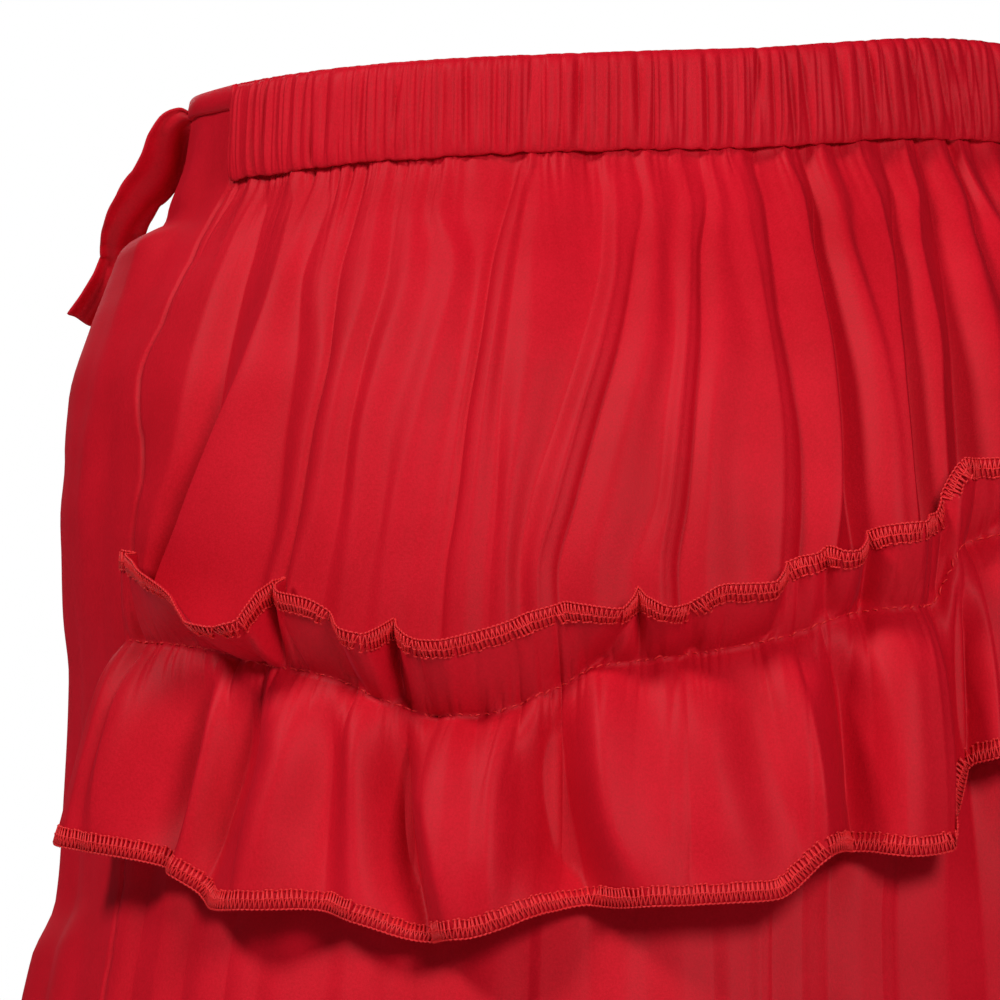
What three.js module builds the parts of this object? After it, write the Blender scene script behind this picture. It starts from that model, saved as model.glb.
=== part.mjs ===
// A gathered maxi skirt, filled out as worn: an elastic casing round the back of the waist, a narrow flat
// band round the front, a gathered back panel, a smooth front panel, one ruffle across the back and a tie at
// each side. Millimetres, +Z up. The origin is the centre of the waist opening at the casing's top edge. The
// front faces -Y. Angles are in degrees from the centre back (+Y) towards the wearer's left (+X).
import * as THREE from 'three';

// Driving dimensions
const hemZ = -950;
const clothThick = 1.6;
const seamGap = 0.3;
const clothColor = 0xbe1c2c;

const casing = { height: 27, inner: 1.2, outer: 0.8, ribs: 76, ribDepth: 1.5, lean: 0.5, leanEvery: 24 };
const casingRows = [
  { down: 0, round: -0.3, rib: 0.25 },
  { down: 4, round: 0.5, rib: 1 },
  { down: 22, round: 0.6, rib: 1 },
  { down: casing.height, round: -0.2, rib: 0.8 },
];
const band = { sideHeight: 7, frontHeight: 5, taperTo: 115, inner: 0.9, outer: 0.9, columns: 40 };
// The ruffle follows the folds under it along its gathering line, and less away from it
const ruffle = { clear: 0.9, follow: 0.72, fadeOver: 45 };
const tie = { thick: 1.6, stations: 24 };

// The smooth body of the skirt by height: half-breadth, then half-depth of the back and of the front
const sections = [
  { z: 20, half: 144, back: 102, front: 99 },
  { z: -27, half: 147, back: 106, front: 106 },
  { z: -45, half: 155, back: 117, front: 118 },
  { z: -62, half: 163, back: 130, front: 129 },
  { z: -90, half: 172, back: 147, front: 142 },
  { z: -135, half: 177, back: 161, front: 149 },
  { z: -210, half: 179, back: 167, front: 153 },
  { z: -260, half: 187, back: 172, front: 161 },
  { z: -500, half: 233, back: 212, front: 206 },
  { z: -960, half: 306, back: 286, front: 282 },
];

// Height of the waist's top edge round the skirt, which rides up a little behind
const waistline = [
  { angle: -180, z: -2.3 },
  { angle: -90, z: -2.1 },
  { angle: -55, z: 3 },
  { angle: -13, z: 11 },
  { angle: 20, z: 3 },
  { angle: 45, z: 0 },
  { angle: 90, z: -2.1 },
  { angle: 180, z: -2.3 },
];
const liftEndZ = -250; // the waistline's rise has faded out by this height

// Fullness pushed out of the front panel below each tie
const pouches = { angle: 122, spread: 22, out: 7.5, z: -64, height: 30 };

// Path of the left side seam: it swings forward a little over the hip
const sideSeam = [
  { z: 20, angle: 89.7 },
  { z: -28, angle: 89.7 },
  { z: -45, angle: 90.5 },
  { z: -62, angle: 92.8 },
  { z: -80, angle: 95.6 },
  { z: -98, angle: 93 },
  { z: -120, angle: 90.5 },
  { z: -960, angle: 90 },
];

// Folds of the back panel, left side seam to centre back: each valley's [angle, depth] at five heights
const foldRoundness = 0.9; // 1 is a half sine from valley to valley, and less is fuller
const foldHeights = { top: -28, hip: -100, seat: -140, low: -240, hem: -950 };
const leftFolds = [
  { top: [80, 2.2], hip: [82, 6], seat: [88, 5], low: [86, 8], hem: [84, 20] },
  { top: [70.5, 2.2], hip: [71.1, 6], seat: [73.2, 5.5], low: [78.7, 8], hem: [78.5, 17] },
  { top: [64, 1.6], hip: [66.3, 3], seat: [68.5, 3], low: [73.2, 4], hem: [72, 15] },
  { top: [60, 0.8], hip: [64, 1], seat: [66, 1.2], low: [69.3, 3], hem: [66.5, 13] },
  { top: [55.3, 2], hip: [61.9, 2.2], seat: [63.5, 2.5], low: [62.6, 6], hem: [61, 19] },
  { top: [51.5, 1.3], hip: [56.7, 2.5], seat: [58.8, 2.5], low: [58, 4], hem: [55.5, 14] },
  { top: [45.1, 2.2], hip: [51.5, 4.5], seat: [54.4, 4], low: [54.2, 5], hem: [50, 18] },
  { top: [41, 1.5], hip: [46.6, 2.5], seat: [47.9, 2.5], low: [49.6, 5], hem: [44.5, 15] },
  { top: [34.8, 2.2], hip: [41, 4.5], seat: [44.9, 3.5], low: [44.1, 5], hem: [39, 18] },
  { top: [29, 1.8], hip: [37.4, 3.5], seat: [40.9, 3], low: [39, 5], hem: [33.5, 15] },
  { top: [26.6, 1.2], hip: [31.4, 2.2], seat: [34.1, 2.2], low: [34.1, 4], hem: [28, 13] },
  { top: [23, 1.8], hip: [28.2, 3], seat: [31, 3], low: [28.8, 4.5], hem: [23, 17] },
  { top: [16.9, 2], hip: [19.1, 4], seat: [20.5, 4], low: [23.7, 4.5], hem: [17.5, 14] },
  { top: [10, 2.3], hip: [13.6, 7], seat: [14.6, 7], low: [18.9, 9], hem: [12, 20] },
];
const centreFolds = [
  { top: [1.7, 1.8], hip: [7.8, 4], seat: [8.5, 4], low: [13, 5], hem: [6.2, 14] },
  { top: [-5.9, 2.3], hip: [0.3, 9], seat: [1.8, 13], low: [4.7, 15], hem: [0.3, 22] },
  { top: [-8.6, 1], hip: [-6.4, 3.5], seat: [-6, 4], low: [-5, 5], hem: [-5.8, 14] },
];
// How the right half's folds differ from the left's: degrees round, and share of depth, by fold number
const unevenness = { across: 0.8, acrossStep: 1.7, offset: 0.36, deeper: 0.12, deeperStep: 2.3 };

// Soft folds of the front panel's left half, side seam to centre front
const frontFolds = [
  { top: [106, 0], hip: [107, 0.8], seat: [107, 1.5], low: [106, 4], hem: [101, 15] },
  { top: [124, 0], hip: [124, 0.6], seat: [124, 2], low: [121, 4], hem: [115, 18] },
  { top: [141, 0], hip: [141, 1], seat: [140, 2.5], low: [137, 5], hem: [131, 14] },
  { top: [156, 0], hip: [156, 0.8], seat: [155, 2], low: [153, 5], hem: [149, 19] },
  { top: [171, 0], hip: [171, 1], seat: [170, 2.5], low: [170, 4], hem: [169, 15] },
];

// Height of the ruffle's gathering line: low between side and centre back, highest at the centre back
const gatherLine = [
  { angle: -90, z: -155 },
  { angle: -70, z: -165 },
  { angle: -48, z: -179 },
  { angle: -32, z: -171 },
  { angle: -14, z: -156 },
  { angle: -2, z: -135 },
  { angle: 4.4, z: -139 },
  { angle: 9.3, z: -153 },
  { angle: 15.7, z: -156 },
  { angle: 22.8, z: -163 },
  { angle: 30.5, z: -167 },
  { angle: 38.2, z: -170 },
  { angle: 42.5, z: -176 },
  { angle: 49.5, z: -182.5 },
  { angle: 58, z: -177 },
  { angle: 63, z: -172 },
  { angle: 71.6, z: -166 },
  { angle: 78, z: -161 },
  { angle: 90, z: -155 },
];
// Rows of the ruffle below that line: how far each stands out, and how much its waves add
const flounceRows = [
  { down: 0, stand: 0, wave: 0 },
  { down: 14, stand: 2.2, wave: 2.5 },
  { down: 36, stand: 3.5, wave: 6 },
  { down: 62, stand: 4, wave: 9 },
];
// Above the line the ruffle is a short header, upright at its peaks and leaning out between them
const header = { lengths: [24, 12], upright: 28, leaning: 64 };
// Its lower corners swing round past the side seams
const corners = { from: 76, to: 90, round: 4.5, out: 7 };
const flounceValleys = [
  -90, -81, -72, -62, -53, -44, -35, -26, -16, -7, 2.5, 13.3, 22, 31, 39.6, 47.3, 57, 66.3, 80.5, 90,
];
const headerPeaks = [
  -90, -85, -69, -57, -47, -36, -26, -17, -9, 2.6, 9.7, 15, 20, 34.9, 45.9, 56.2, 68.8, 86, 90,
];

// Route of the left tie over the front panel: where it is, how far off the cloth, how wide, and its turn
const tieRoute = [
  { angle: 107, z: -10.5, out: 1.9, width: 4, turn: 90 },
  { angle: 107.5, z: -10.8, out: 4, width: 6.5, turn: 88 },
  { angle: 108.5, z: -14, out: 7, width: 8, turn: 82 },
  { angle: 110, z: -21, out: 9, width: 9.5, turn: 76 },
  { angle: 112, z: -28, out: 10, width: 10.5, turn: 68 },
  { angle: 114.5, z: -35, out: 8.5, width: 11, turn: 54 },
  { angle: 118, z: -42, out: 5.5, width: 11, turn: 28 },
  { angle: 121.5, z: -49, out: 3.4, width: 11, turn: 6 },
  { angle: 125, z: -56, out: 3.2, width: 11, turn: 0 },
  { angle: 129, z: -63, out: 3.4, width: 11, turn: 0 },
];

const radians = Math.PI / 180;

// Smooth value of a column of a table at a place between its rows
function valueAt(rows, key, place, column) {
  const ordered = rows[0][key] < rows[rows.length - 1][key] ? rows : [...rows].reverse();
  const last = ordered.length - 1;
  const at = THREE.MathUtils.clamp(place, ordered[0][key], ordered[last][key]);
  let i = 0;
  while (i < last - 1 && at > ordered[i + 1][key]) {
    i += 1;
  }
  const step = (k) => {
    const [from, to] = [ordered[k], ordered[k + 1]];
    return (to[column] - from[column]) / (to[key] - from[key]);
  };
  const slope = (k) => {
    const before = step(Math.max(k - 1, 0));
    const after = step(Math.min(k, last - 1));
    return before * after <= 0 ? 0 : (2 * before * after) / (before + after);
  };
  const span = ordered[i + 1][key] - ordered[i][key];
  const t = (at - ordered[i][key]) / span;
  const start = ordered[i][column];
  const end = ordered[i + 1][column];
  const ease = t * t * (3 - 2 * t);
  const bend = t * (1 - t) * ((1 - t) * slope(i) - t * slope(i + 1)) * span;
  return start + (end - start) * ease + bend;
}

function lift(angle, z) {
  const fade = THREE.MathUtils.clamp((z - liftEndZ) / -liftEndZ, 0, 1);
  return valueAt(waistline, 'angle', angle > 180 ? angle - 360 : angle, 'z') * fade;
}

// A point of the smooth body at a height, moved out along the horizontal normal
function bodyPoint(angle, z, out) {
  const half = valueAt(sections, 'z', z, 'half');
  const isBack = Math.cos(angle * radians) > 0;
  const depth = valueAt(sections, 'z', z, isBack ? 'back' : 'front');
  const sin = Math.sin(angle * radians);
  const cos = Math.cos(angle * radians);
  const length = Math.hypot(sin * depth, cos * half);
  const fromSide = Math.abs(angle > 180 ? 360 - angle : Math.abs(angle)) - pouches.angle;
  const round = Math.exp(-((fromSide / pouches.spread) ** 2));
  const level = Math.exp(-(((z - pouches.z) / pouches.height) ** 4));
  const pushed = out + pouches.out * round * level;
  return new THREE.Vector3(
    half * sin + (pushed * sin * depth) / length,
    depth * cos + (pushed * cos * half) / length,
    z + lift(angle, z),
  );
}

function gatherZ(angle) {
  return valueAt(gatherLine, 'angle', THREE.MathUtils.clamp(angle, -90, 90), 'z');
}

// Angle and depth of one fold's valley at a height
function foldAt(fold, z) {
  const rows = Object.entries(foldHeights).map(([name, height]) => ({
    z: height,
    angle: fold[name][0],
    depth: fold[name][1],
  }));
  return { angle: valueAt(rows, 'z', z, 'angle'), depth: valueAt(rows, 'z', z, 'depth') };
}

// The same folds on the other half, a little uneven
function mirrored(folds, about) {
  return folds.map((fold, i) => {
    const shift = unevenness.across * Math.cos(i * unevenness.acrossStep) - unevenness.offset;
    const deeper = 1 + unevenness.deeper * Math.sin(i * unevenness.deeperStep);
    const copy = {};
    for (const [name, [angle, depth]] of Object.entries(fold)) {
      copy[name] = [about - angle + shift, depth * deeper];
    }
    return copy;
  });
}

// A place in a panel: a share of the way round between two of its valleys, at a height
function foldPlace(folds, edges, index, share, z) {
  const sides = [index - 1, index].map((k) => {
    if (k < 0) {
      return { angle: edges[0](z), depth: 0 };
    }
    if (k >= folds.length) {
      return { angle: edges[1](z), depth: 0 };
    }
    return foldAt(folds[k], z);
  });
  const angle = THREE.MathUtils.lerp(sides[0].angle, sides[1].angle, share);
  const depth = THREE.MathUtils.lerp(sides[0].depth, sides[1].depth, share);
  return { angle, out: -depth * (1 - Math.sin(Math.PI * share) ** foldRoundness) };
}

// One closed wall from a grid of middle points, each side of it moved along the grid's own normals.
// reach(row, column) gives how far the outer and the inner side lie from the middle.
function wall(name, grid, reach, edgeNormal) {
  const rowCount = grid.length;
  const columnCount = grid[0].length;
  const normals = grid.map((row, i) => row.map((point, j) => {
    if (edgeNormal && (j === 0 || j === columnCount - 1)) {
      return edgeNormal(point);
    }
    const along = new THREE.Vector3().subVectors(
      grid[i][Math.min(j + 1, columnCount - 1)], grid[i][Math.max(j - 1, 0)],
    );
    const down = new THREE.Vector3().subVectors(
      grid[Math.min(i + 1, rowCount - 1)][j], grid[Math.max(i - 1, 0)][j],
    );
    const normal = along.cross(down);
    if (i === 0 || i === rowCount - 1) {
      normal.z = 0; // seam and hem edges stay level
    }
    return normal.normalize();
  }));
  const positions = [];
  const faces = [];
  const indexOf = (side, i, j) => (side * rowCount + i) * columnCount + j;
  for (const side of [0, 1]) {
    for (let i = 0; i < rowCount; i += 1) {
      for (let j = 0; j < columnCount; j += 1) {
        const { outer, inner } = reach(i, j);
        const move = side === 0 ? outer : -inner;
        positions.push(...grid[i][j].clone().addScaledVector(normals[i][j], move).toArray());
      }
    }
  }
  const quad = (a, b, c, d) => faces.push(a, b, c, a, c, d);
  for (let i = 0; i < rowCount - 1; i += 1) {
    for (let j = 0; j < columnCount - 1; j += 1) {
      quad(indexOf(0, i, j), indexOf(0, i, j + 1), indexOf(0, i + 1, j + 1), indexOf(0, i + 1, j));
      quad(indexOf(1, i, j), indexOf(1, i + 1, j), indexOf(1, i + 1, j + 1), indexOf(1, i, j + 1));
    }
  }
  for (let j = 0; j < columnCount - 1; j += 1) {
    const end = rowCount - 1;
    quad(indexOf(0, 0, j), indexOf(1, 0, j), indexOf(1, 0, j + 1), indexOf(0, 0, j + 1));
    quad(indexOf(0, end, j), indexOf(0, end, j + 1), indexOf(1, end, j + 1), indexOf(1, end, j));
  }
  for (let i = 0; i < rowCount - 1; i += 1) {
    const end = columnCount - 1;
    quad(indexOf(0, i, 0), indexOf(0, i + 1, 0), indexOf(1, i + 1, 0), indexOf(1, i, 0));
    quad(indexOf(0, i, end), indexOf(1, i, end), indexOf(1, i + 1, end), indexOf(0, i + 1, end));
  }
  const geometry = new THREE.BufferGeometry();
  geometry.setAttribute('position', new THREE.Float32BufferAttribute(positions, 3));
  geometry.setIndex(faces);
  geometry.computeVertexNormals();
  const material = new THREE.MeshStandardMaterial({ color: clothColor, roughness: 0.6, metalness: 0 });
  const mesh = new THREE.Mesh(geometry, material);
  mesh.name = name;
  return mesh;
}

// Angle of a side seam at a height, kept half a gap back from its middle line
function seamAngle(side, z, panel) {
  const half = valueAt(sections, 'z', z, 'back');
  const back = (seamGap / 2 / half) / radians;
  return side * (valueAt(sideSeam, 'z', z, 'angle') + panel * back);
}

// Outward direction of the body at a side, shared by the panels that meet there: their edges are parallel
function sideNormal(point) {
  const half = valueAt(sections, 'z', point.z, 'half');
  const depth = valueAt(sections, 'z', point.z, 'back');
  const angle = Math.atan2(point.x / half, point.y / depth);
  return new THREE.Vector3().subVectors(
    bodyPoint(angle / radians, point.z, 1), bodyPoint(angle / radians, point.z, 0),
  );
}

// Heights of a panel's rows at an angle: from its top edge to the ruffle, over it, then down to the hem
const upperShares = [0.14, 0.32, 0.6];
const ruffleLevels = [24, 0, -36, -60];
const lowerHeights = [-300, -400, -560, -750, hemZ];
const middleAngle = 60; // a column's angle is first found from the row heights here
function panelHeights(angle, edgeAbove) {
  const line = gatherZ(angle);
  const start = -casing.height - seamGap;
  const firstLevel = line + ruffleLevels[0];
  return [
    ...(edgeAbove ? [edgeAbove(angle)] : []),
    start,
    ...upperShares.map((share) => THREE.MathUtils.lerp(start, firstLevel, share)),
    ...ruffleLevels.map((level) => line + level),
    ...lowerHeights,
  ];
}

// The grid of a folded panel, with columns that follow its folds
function panelGrid(folds, edges, shares, edgeAbove) {
  const columns = [];
  for (let index = 0; index <= folds.length; index += 1) {
    for (const share of shares) {
      columns.push({ index, share });
    }
  }
  columns.push({ index: folds.length, share: 1 });
  const roughHeights = panelHeights(middleAngle, edgeAbove);
  const grid = [];
  for (let row = 0; row < roughHeights.length; row += 1) {
    grid.push(columns.map(({ index, share }) => {
      const rough = foldPlace(folds, edges, index, share, roughHeights[row]).angle;
      const z = panelHeights(rough, edgeAbove)[row];
      const place = foldPlace(folds, edges, index, share, z);
      return bodyPoint(place.angle, z, place.out);
    }));
  }
  return grid;
}

const rightFolds = mirrored(leftFolds, 0).reverse();
const backFolds = [...leftFolds, ...centreFolds, ...rightFolds];
const backEdges = [(z) => seamAngle(1, z, -1), (z) => seamAngle(-1, z, -1)];
const foldShares = [0, 0.2, 0.5, 0.8];
const frontShares = [0, 0.25, 0.5, 0.75];
const evenWall = () => ({ outer: clothThick / 2, inner: clothThick / 2 });

function buildBackPanel() {
  const grid = panelGrid(backFolds, backEdges, foldShares).map((row) => row.reverse());
  return wall('back_panel', grid, evenWall, sideNormal);
}

function buildFrontPanel() {
  const otherHalf = mirrored(frontFolds, 360).reverse();
  const folds = [...frontFolds, ...otherHalf];
  const edges = [(z) => seamAngle(1, z, 1), (z) => 360 + seamAngle(-1, z, 1)];
  const grid = panelGrid(folds, edges, frontShares, (angle) => -bandHeight(angle) - seamGap);
  return wall('front_panel', grid, evenWall, sideNormal);
}

// Share of a wave at an angle: 0 in each valley and 1 midway between two
function waveAt(valleys, angle) {
  for (let i = 0; i < valleys.length - 1; i += 1) {
    if (angle <= valleys[i + 1]) {
      const share = THREE.MathUtils.clamp((angle - valleys[i]) / (valleys[i + 1] - valleys[i]), 0, 1);
      return Math.sin(Math.PI * share) ** foldRoundness;
    }
  }
  return 0;
}

// How far the header leans out from upright at an angle, in degrees
function leanAt(angle) {
  return THREE.MathUtils.lerp(header.upright, header.leaning, waveAt(headerPeaks, angle));
}

const dropLength = flounceRows[flounceRows.length - 1].down;
function buildRuffle() {
  const columns = [];
  for (let index = 0; index <= backFolds.length; index += 1) {
    for (const share of foldShares) {
      columns.push({ index, share });
    }
  }
  const pointAt = ({ index, share }, dz, outAt) => {
    const rough = foldPlace(backFolds, backEdges, index, share, gatherZ(middleAngle) + dz).angle;
    const z = gatherZ(rough) + dz;
    const place = foldPlace(backFolds, backEdges, index, share, z);
    const follow = ruffle.follow * (1 - Math.min(1, Math.abs(dz) / ruffle.fadeOver));
    const pastCorner = (Math.abs(rough) - corners.from) / (corners.to - corners.from);
    const corner = THREE.MathUtils.clamp(pastCorner, 0, 1);
    const swing = corner ** 2 * Math.max(0, -dz / dropLength);
    const out = clothThick + ruffle.clear + place.out * follow + outAt(rough) + corners.out * swing;
    return bodyPoint(place.angle + Math.sign(rough) * corners.round * swing, z, out);
  };
  const inner = columns.slice(1);
  const headerGrid = header.lengths.map((length) => inner.map((column) => {
    const rough = foldPlace(backFolds, backEdges, column.index, column.share, gatherZ(middleAngle)).angle;
    const lean = leanAt(rough) * radians;
    return pointAt(column, length * Math.cos(lean), () => length * Math.sin(lean));
  }));
  const flounceGrid = flounceRows.map(({ down, stand, wave }) => inner.map((column) => (
    pointAt(column, -down, (angle) => stand + wave * waveAt(flounceValleys, angle))
  )));
  const grid = [...headerGrid, ...flounceGrid];
  return wall('ruffle', grid.map((row) => row.reverse()), evenWall);
}

// How high one rib of the casing stands: no two beside each other are alike
function ribHeight(index) {
  return casing.ribDepth * (0.65 + 0.35 * Math.sin(index * 1.37) * Math.cos(index * 0.61));
}

function buildBackCasing() {
  const columnCount = casing.ribs * 2;
  const start = seamAngle(-1, -casing.height, -1);
  const end = seamAngle(1, -casing.height, -1);
  const grid = casingRows.map(({ down }) => {
    const points = [];
    for (let j = 0; j <= columnCount; j += 1) {
      const isEnd = j === 0 || j === columnCount;
      const lean = isEnd ? 0 : casing.lean * Math.sin(j / casing.leanEvery) * (down / casing.height);
      points.push(bodyPoint(THREE.MathUtils.lerp(start, end, j / columnCount) + lean, -down, 0));
    }
    return points;
  });
  const reach = (i, j) => {
    const rib = j % 2 === 1 ? ribHeight(j) : 0;
    return { outer: casing.outer + casingRows[i].round + rib * casingRows[i].rib, inner: casing.inner };
  };
  return wall('waistband_back', grid, reach, sideNormal);
}

const bandStart = seamAngle(1, 0, 1);
const bandAngles = Array.from({ length: band.columns + 1 }, (_, j) => (
  THREE.MathUtils.lerp(bandStart, 360 - bandStart, j / band.columns)
));
function bandHeight(angle) {
  const fromSide = Math.min(angle, 360 - angle);
  const share = THREE.MathUtils.clamp((fromSide - 90) / (band.taperTo - 90), 0, 1);
  return THREE.MathUtils.lerp(band.sideHeight, band.frontHeight, share);
}

function buildFrontBand() {
  const bandRow = (share) => bandAngles.map((angle) => bodyPoint(angle, -share * bandHeight(angle), 0));
  const grid = [bandRow(0), bandRow(1)];
  const reach = () => ({ outer: band.outer, inner: band.inner });
  return wall('waistband_front', grid, reach, sideNormal);
}

// A flat tie from its root under the front band to its cut end. side is 1 for the wearer's left, else -1
function buildTie(name, side) {
  const centres = tieRoute.map(({ angle, z, out }) => bodyPoint(angle, z, out));
  const curve = new THREE.CatmullRomCurve3(centres, false, 'centripetal');
  const last = tieRoute.length - 1;
  const positions = [];
  for (let i = 0; i <= tie.stations; i += 1) {
    const t = i / tie.stations;
    const centre = curve.getPoint(t);
    const heading = curve.getTangent(t);
    const row = Math.min(Math.floor(t * last), last - 1);
    const share = t * last - row;
    const mix = (column) => THREE.MathUtils.lerp(tieRoute[row][column], tieRoute[row + 1][column], share);
    const angle = mix('angle') * radians;
    const round = new THREE.Vector3(Math.cos(angle), -Math.sin(angle), 0);
    const across = round.addScaledVector(heading, -round.dot(heading)).normalize();
    across.applyAxisAngle(heading, mix('turn') * radians);
    const face = new THREE.Vector3().crossVectors(heading, across).normalize();
    for (const [u, v] of [[-1, -1], [1, -1], [1, 1], [-1, 1]]) {
      const corner = centre.clone();
      corner.addScaledVector(across, (u * mix('width')) / 2);
      corner.addScaledVector(face, (v * tie.thick) / 2);
      positions.push(corner.x * side, corner.y, corner.z);
    }
  }
  const faces = [];
  const quad = (a, b, c, d) => (side > 0 ? faces.push(a, b, c, a, c, d) : faces.push(a, c, b, a, d, c));
  for (let i = 0; i < tie.stations; i += 1) {
    for (let k = 0; k < 4; k += 1) {
      const next = (k + 1) % 4;
      quad(i * 4 + k, i * 4 + next, i * 4 + 4 + next, i * 4 + 4 + k);
    }
  }
  const tip = tie.stations * 4;
  quad(3, 2, 1, 0);
  quad(tip, tip + 1, tip + 2, tip + 3);
  const geometry = new THREE.BufferGeometry();
  geometry.setAttribute('position', new THREE.Float32BufferAttribute(positions, 3));
  geometry.setIndex(faces);
  geometry.computeVertexNormals();
  const material = new THREE.MeshStandardMaterial({ color: clothColor, roughness: 0.6, metalness: 0 });
  const mesh = new THREE.Mesh(geometry, material);
  mesh.name = name;
  return mesh;
}

const skirt = new THREE.Group();
skirt.add(buildBackCasing());
skirt.add(buildFrontBand());
skirt.add(buildBackPanel());
skirt.add(buildFrontPanel());
skirt.add(buildRuffle());
skirt.add(buildTie('tie_left', 1));
skirt.add(buildTie('tie_right', -1));

export default skirt;
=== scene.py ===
import math
import random

import bmesh
import bpy
import numpy as np
from mathutils import Matrix, Vector


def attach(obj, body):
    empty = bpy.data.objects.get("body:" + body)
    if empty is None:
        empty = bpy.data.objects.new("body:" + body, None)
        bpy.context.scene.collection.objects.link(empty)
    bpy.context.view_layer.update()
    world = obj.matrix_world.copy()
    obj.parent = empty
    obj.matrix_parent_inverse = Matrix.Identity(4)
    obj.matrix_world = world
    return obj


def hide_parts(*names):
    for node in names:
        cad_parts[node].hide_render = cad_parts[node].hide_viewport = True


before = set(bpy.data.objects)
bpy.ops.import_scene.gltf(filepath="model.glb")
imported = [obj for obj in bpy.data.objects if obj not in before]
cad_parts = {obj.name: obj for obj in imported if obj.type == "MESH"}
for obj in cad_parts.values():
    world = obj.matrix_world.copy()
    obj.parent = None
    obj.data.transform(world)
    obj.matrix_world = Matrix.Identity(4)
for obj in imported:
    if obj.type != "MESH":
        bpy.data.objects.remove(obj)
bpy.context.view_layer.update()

mm = 0.001

# Angles are in degrees from the centre back (+Y) towards the wearer's left (+X). Lengths are in millimetres.
hemZ = -950.0
liftEnd = -250.0
casingHeight = 27.0
sections = dict(
    z=(20, -27, -45, -62, -90, -135, -210, -260, -500, -960),
    half=(144, 147, 155, 163, 172, 177, 179, 187, 233, 306),
    back=(102, 106, 117, 130, 147, 161, 167, 172, 212, 286),
    front=(99, 106, 118, 129, 142, 149, 153, 161, 206, 282),
)
waistline = dict(
    angle=(-180, -90, -55, -13, 20, 45, 90, 180),
    z=(-2.3, -2.1, 3, 11, 3, 0, -2.1, -2.3),
)
pouches = dict(angle=122, spread=22, out=7.5, z=-64, height=30)
# How the front cloth blouses over at each side, beyond the smooth pouch
lip = dict(
    z=(-4, -16, -28, -34.5, -40, -47, -56, -72, -84, -98, -110, -127, -143, -160, -222, -238, -280, -330,
       -420),
    out=(2, 2.6, 4.6, 2.6, 8, 6, 4, 2.7, 2.2, 4.6, 5, 3.3, 2, 0, 0.5, 4.5, 5.5, 5, 0),
    angle=(92, 97, 104, 122, 136, 150), share=(0, 0.2, 1, 1, 0.4, 0),
)
sideSeam = dict(
    z=(-28, -34, -50, -65, -80, -90, -111, -127, -150, -960),
    angle=(90.2, 91.6, 91.5, 91.7, 93.2, 92.2, 89.9, 90.9, 90.5, 90),
)

# The ruffle's gathering line. Its right half is like the left half, which shows.
gatherLine = dict(
    angle=(-91, -70, -48, -32, -14, -2, 5.6, 8.6, 15.7, 22.8, 30.5, 38.2, 42.5, 48.7, 52.3, 58, 63, 71.6,
           78, 91),
    z=(-155, -165, -179, -171, -156, -135, -139, -154, -156, -163, -167, -170, -176, -182, -182, -177,
       -170.5, -165, -160, -155),
)


# A smooth curve through the rows of a table, that never overshoots them
def curve(places, values):
    x = np.array(places, float)
    y = np.array(values, float)
    if x[0] > x[-1]:
        x = x[::-1]
        y = y[::-1]
    steps = np.diff(y) / np.diff(x)
    before = np.concatenate([steps[:1], steps])
    after = np.concatenate([steps, steps[-1:]])
    total = np.where(before + after == 0, 1, before + after)
    slopes = np.where(before * after <= 0, 0, 2 * before * after / total)

    def at(place):
        p = np.clip(place, x[0], x[-1])
        i = np.clip(np.searchsorted(x, p) - 1, 0, len(x) - 2)
        span = x[i + 1] - x[i]
        t = (p - x[i]) / span
        ease = t * t * (3 - 2 * t)
        bend = t * (1 - t) * ((1 - t) * slopes[i] - t * slopes[i + 1]) * span
        return y[i] + (y[i + 1] - y[i]) * ease + bend

    return at


halfAt = curve(sections["z"], sections["half"])
backAt = curve(sections["z"], sections["back"])
frontAt = curve(sections["z"], sections["front"])
waistAt = curve(waistline["angle"], waistline["z"])
seamAt = curve(sideSeam["z"], sideSeam["angle"])
gatherAt = curve(gatherLine["angle"], gatherLine["z"])
lipAt = curve(lip["z"], lip["out"])
lipShare = curve(lip["angle"], lip["share"])


# A point of the smooth body at a height, moved out along the horizontal normal
def bodyPoint(angle, z, out=0.0):
    angle, z, out = np.broadcast_arrays(*(np.asarray(value, float) for value in (angle, z, out)))
    sin = np.sin(np.radians(angle))
    cos = np.cos(np.radians(angle))
    half = halfAt(z)
    depth = np.where(cos > 0, backAt(z), frontAt(z))
    length = np.hypot(sin * depth, cos * half)
    fromPouch = np.where(angle > 180, 360 - angle, np.abs(angle)) - pouches["angle"]
    level = np.exp(-(((z - pouches["z"]) / pouches["height"]) ** 4))
    pushed = out + pouches["out"] * np.exp(-((fromPouch / pouches["spread"]) ** 2)) * level
    lift = waistAt(np.where(angle > 180, angle - 360, angle)) * np.clip((z - liftEnd) / -liftEnd, 0, 1)
    x = half * sin + pushed * sin * depth / length
    y = depth * cos + pushed * cos * half / length
    return np.stack([x, y, z + lift], axis=-1)


# Smooth one-dimensional noise from -1 to 1, the same on every run
def waver(seed, step):
    rng = random.Random(seed)
    values = np.array([rng.uniform(-1, 1) for _ in range(512)])

    def at(place):
        p = np.asarray(place, float) / step
        i = np.floor(p).astype(int)
        t = p - i
        t = t * t * (3 - 2 * t)
        return values[i % 512] * (1 - t) + values[(i + 1) % 512] * t

    return at


seamNoise = [waver(seed, 1.0) for seed in (51, 52, 53, 54, 55)]
grooves = dict(leanEvery=0.35, evenShare=0.65, startOff=0.6, startOver=1.5)


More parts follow.
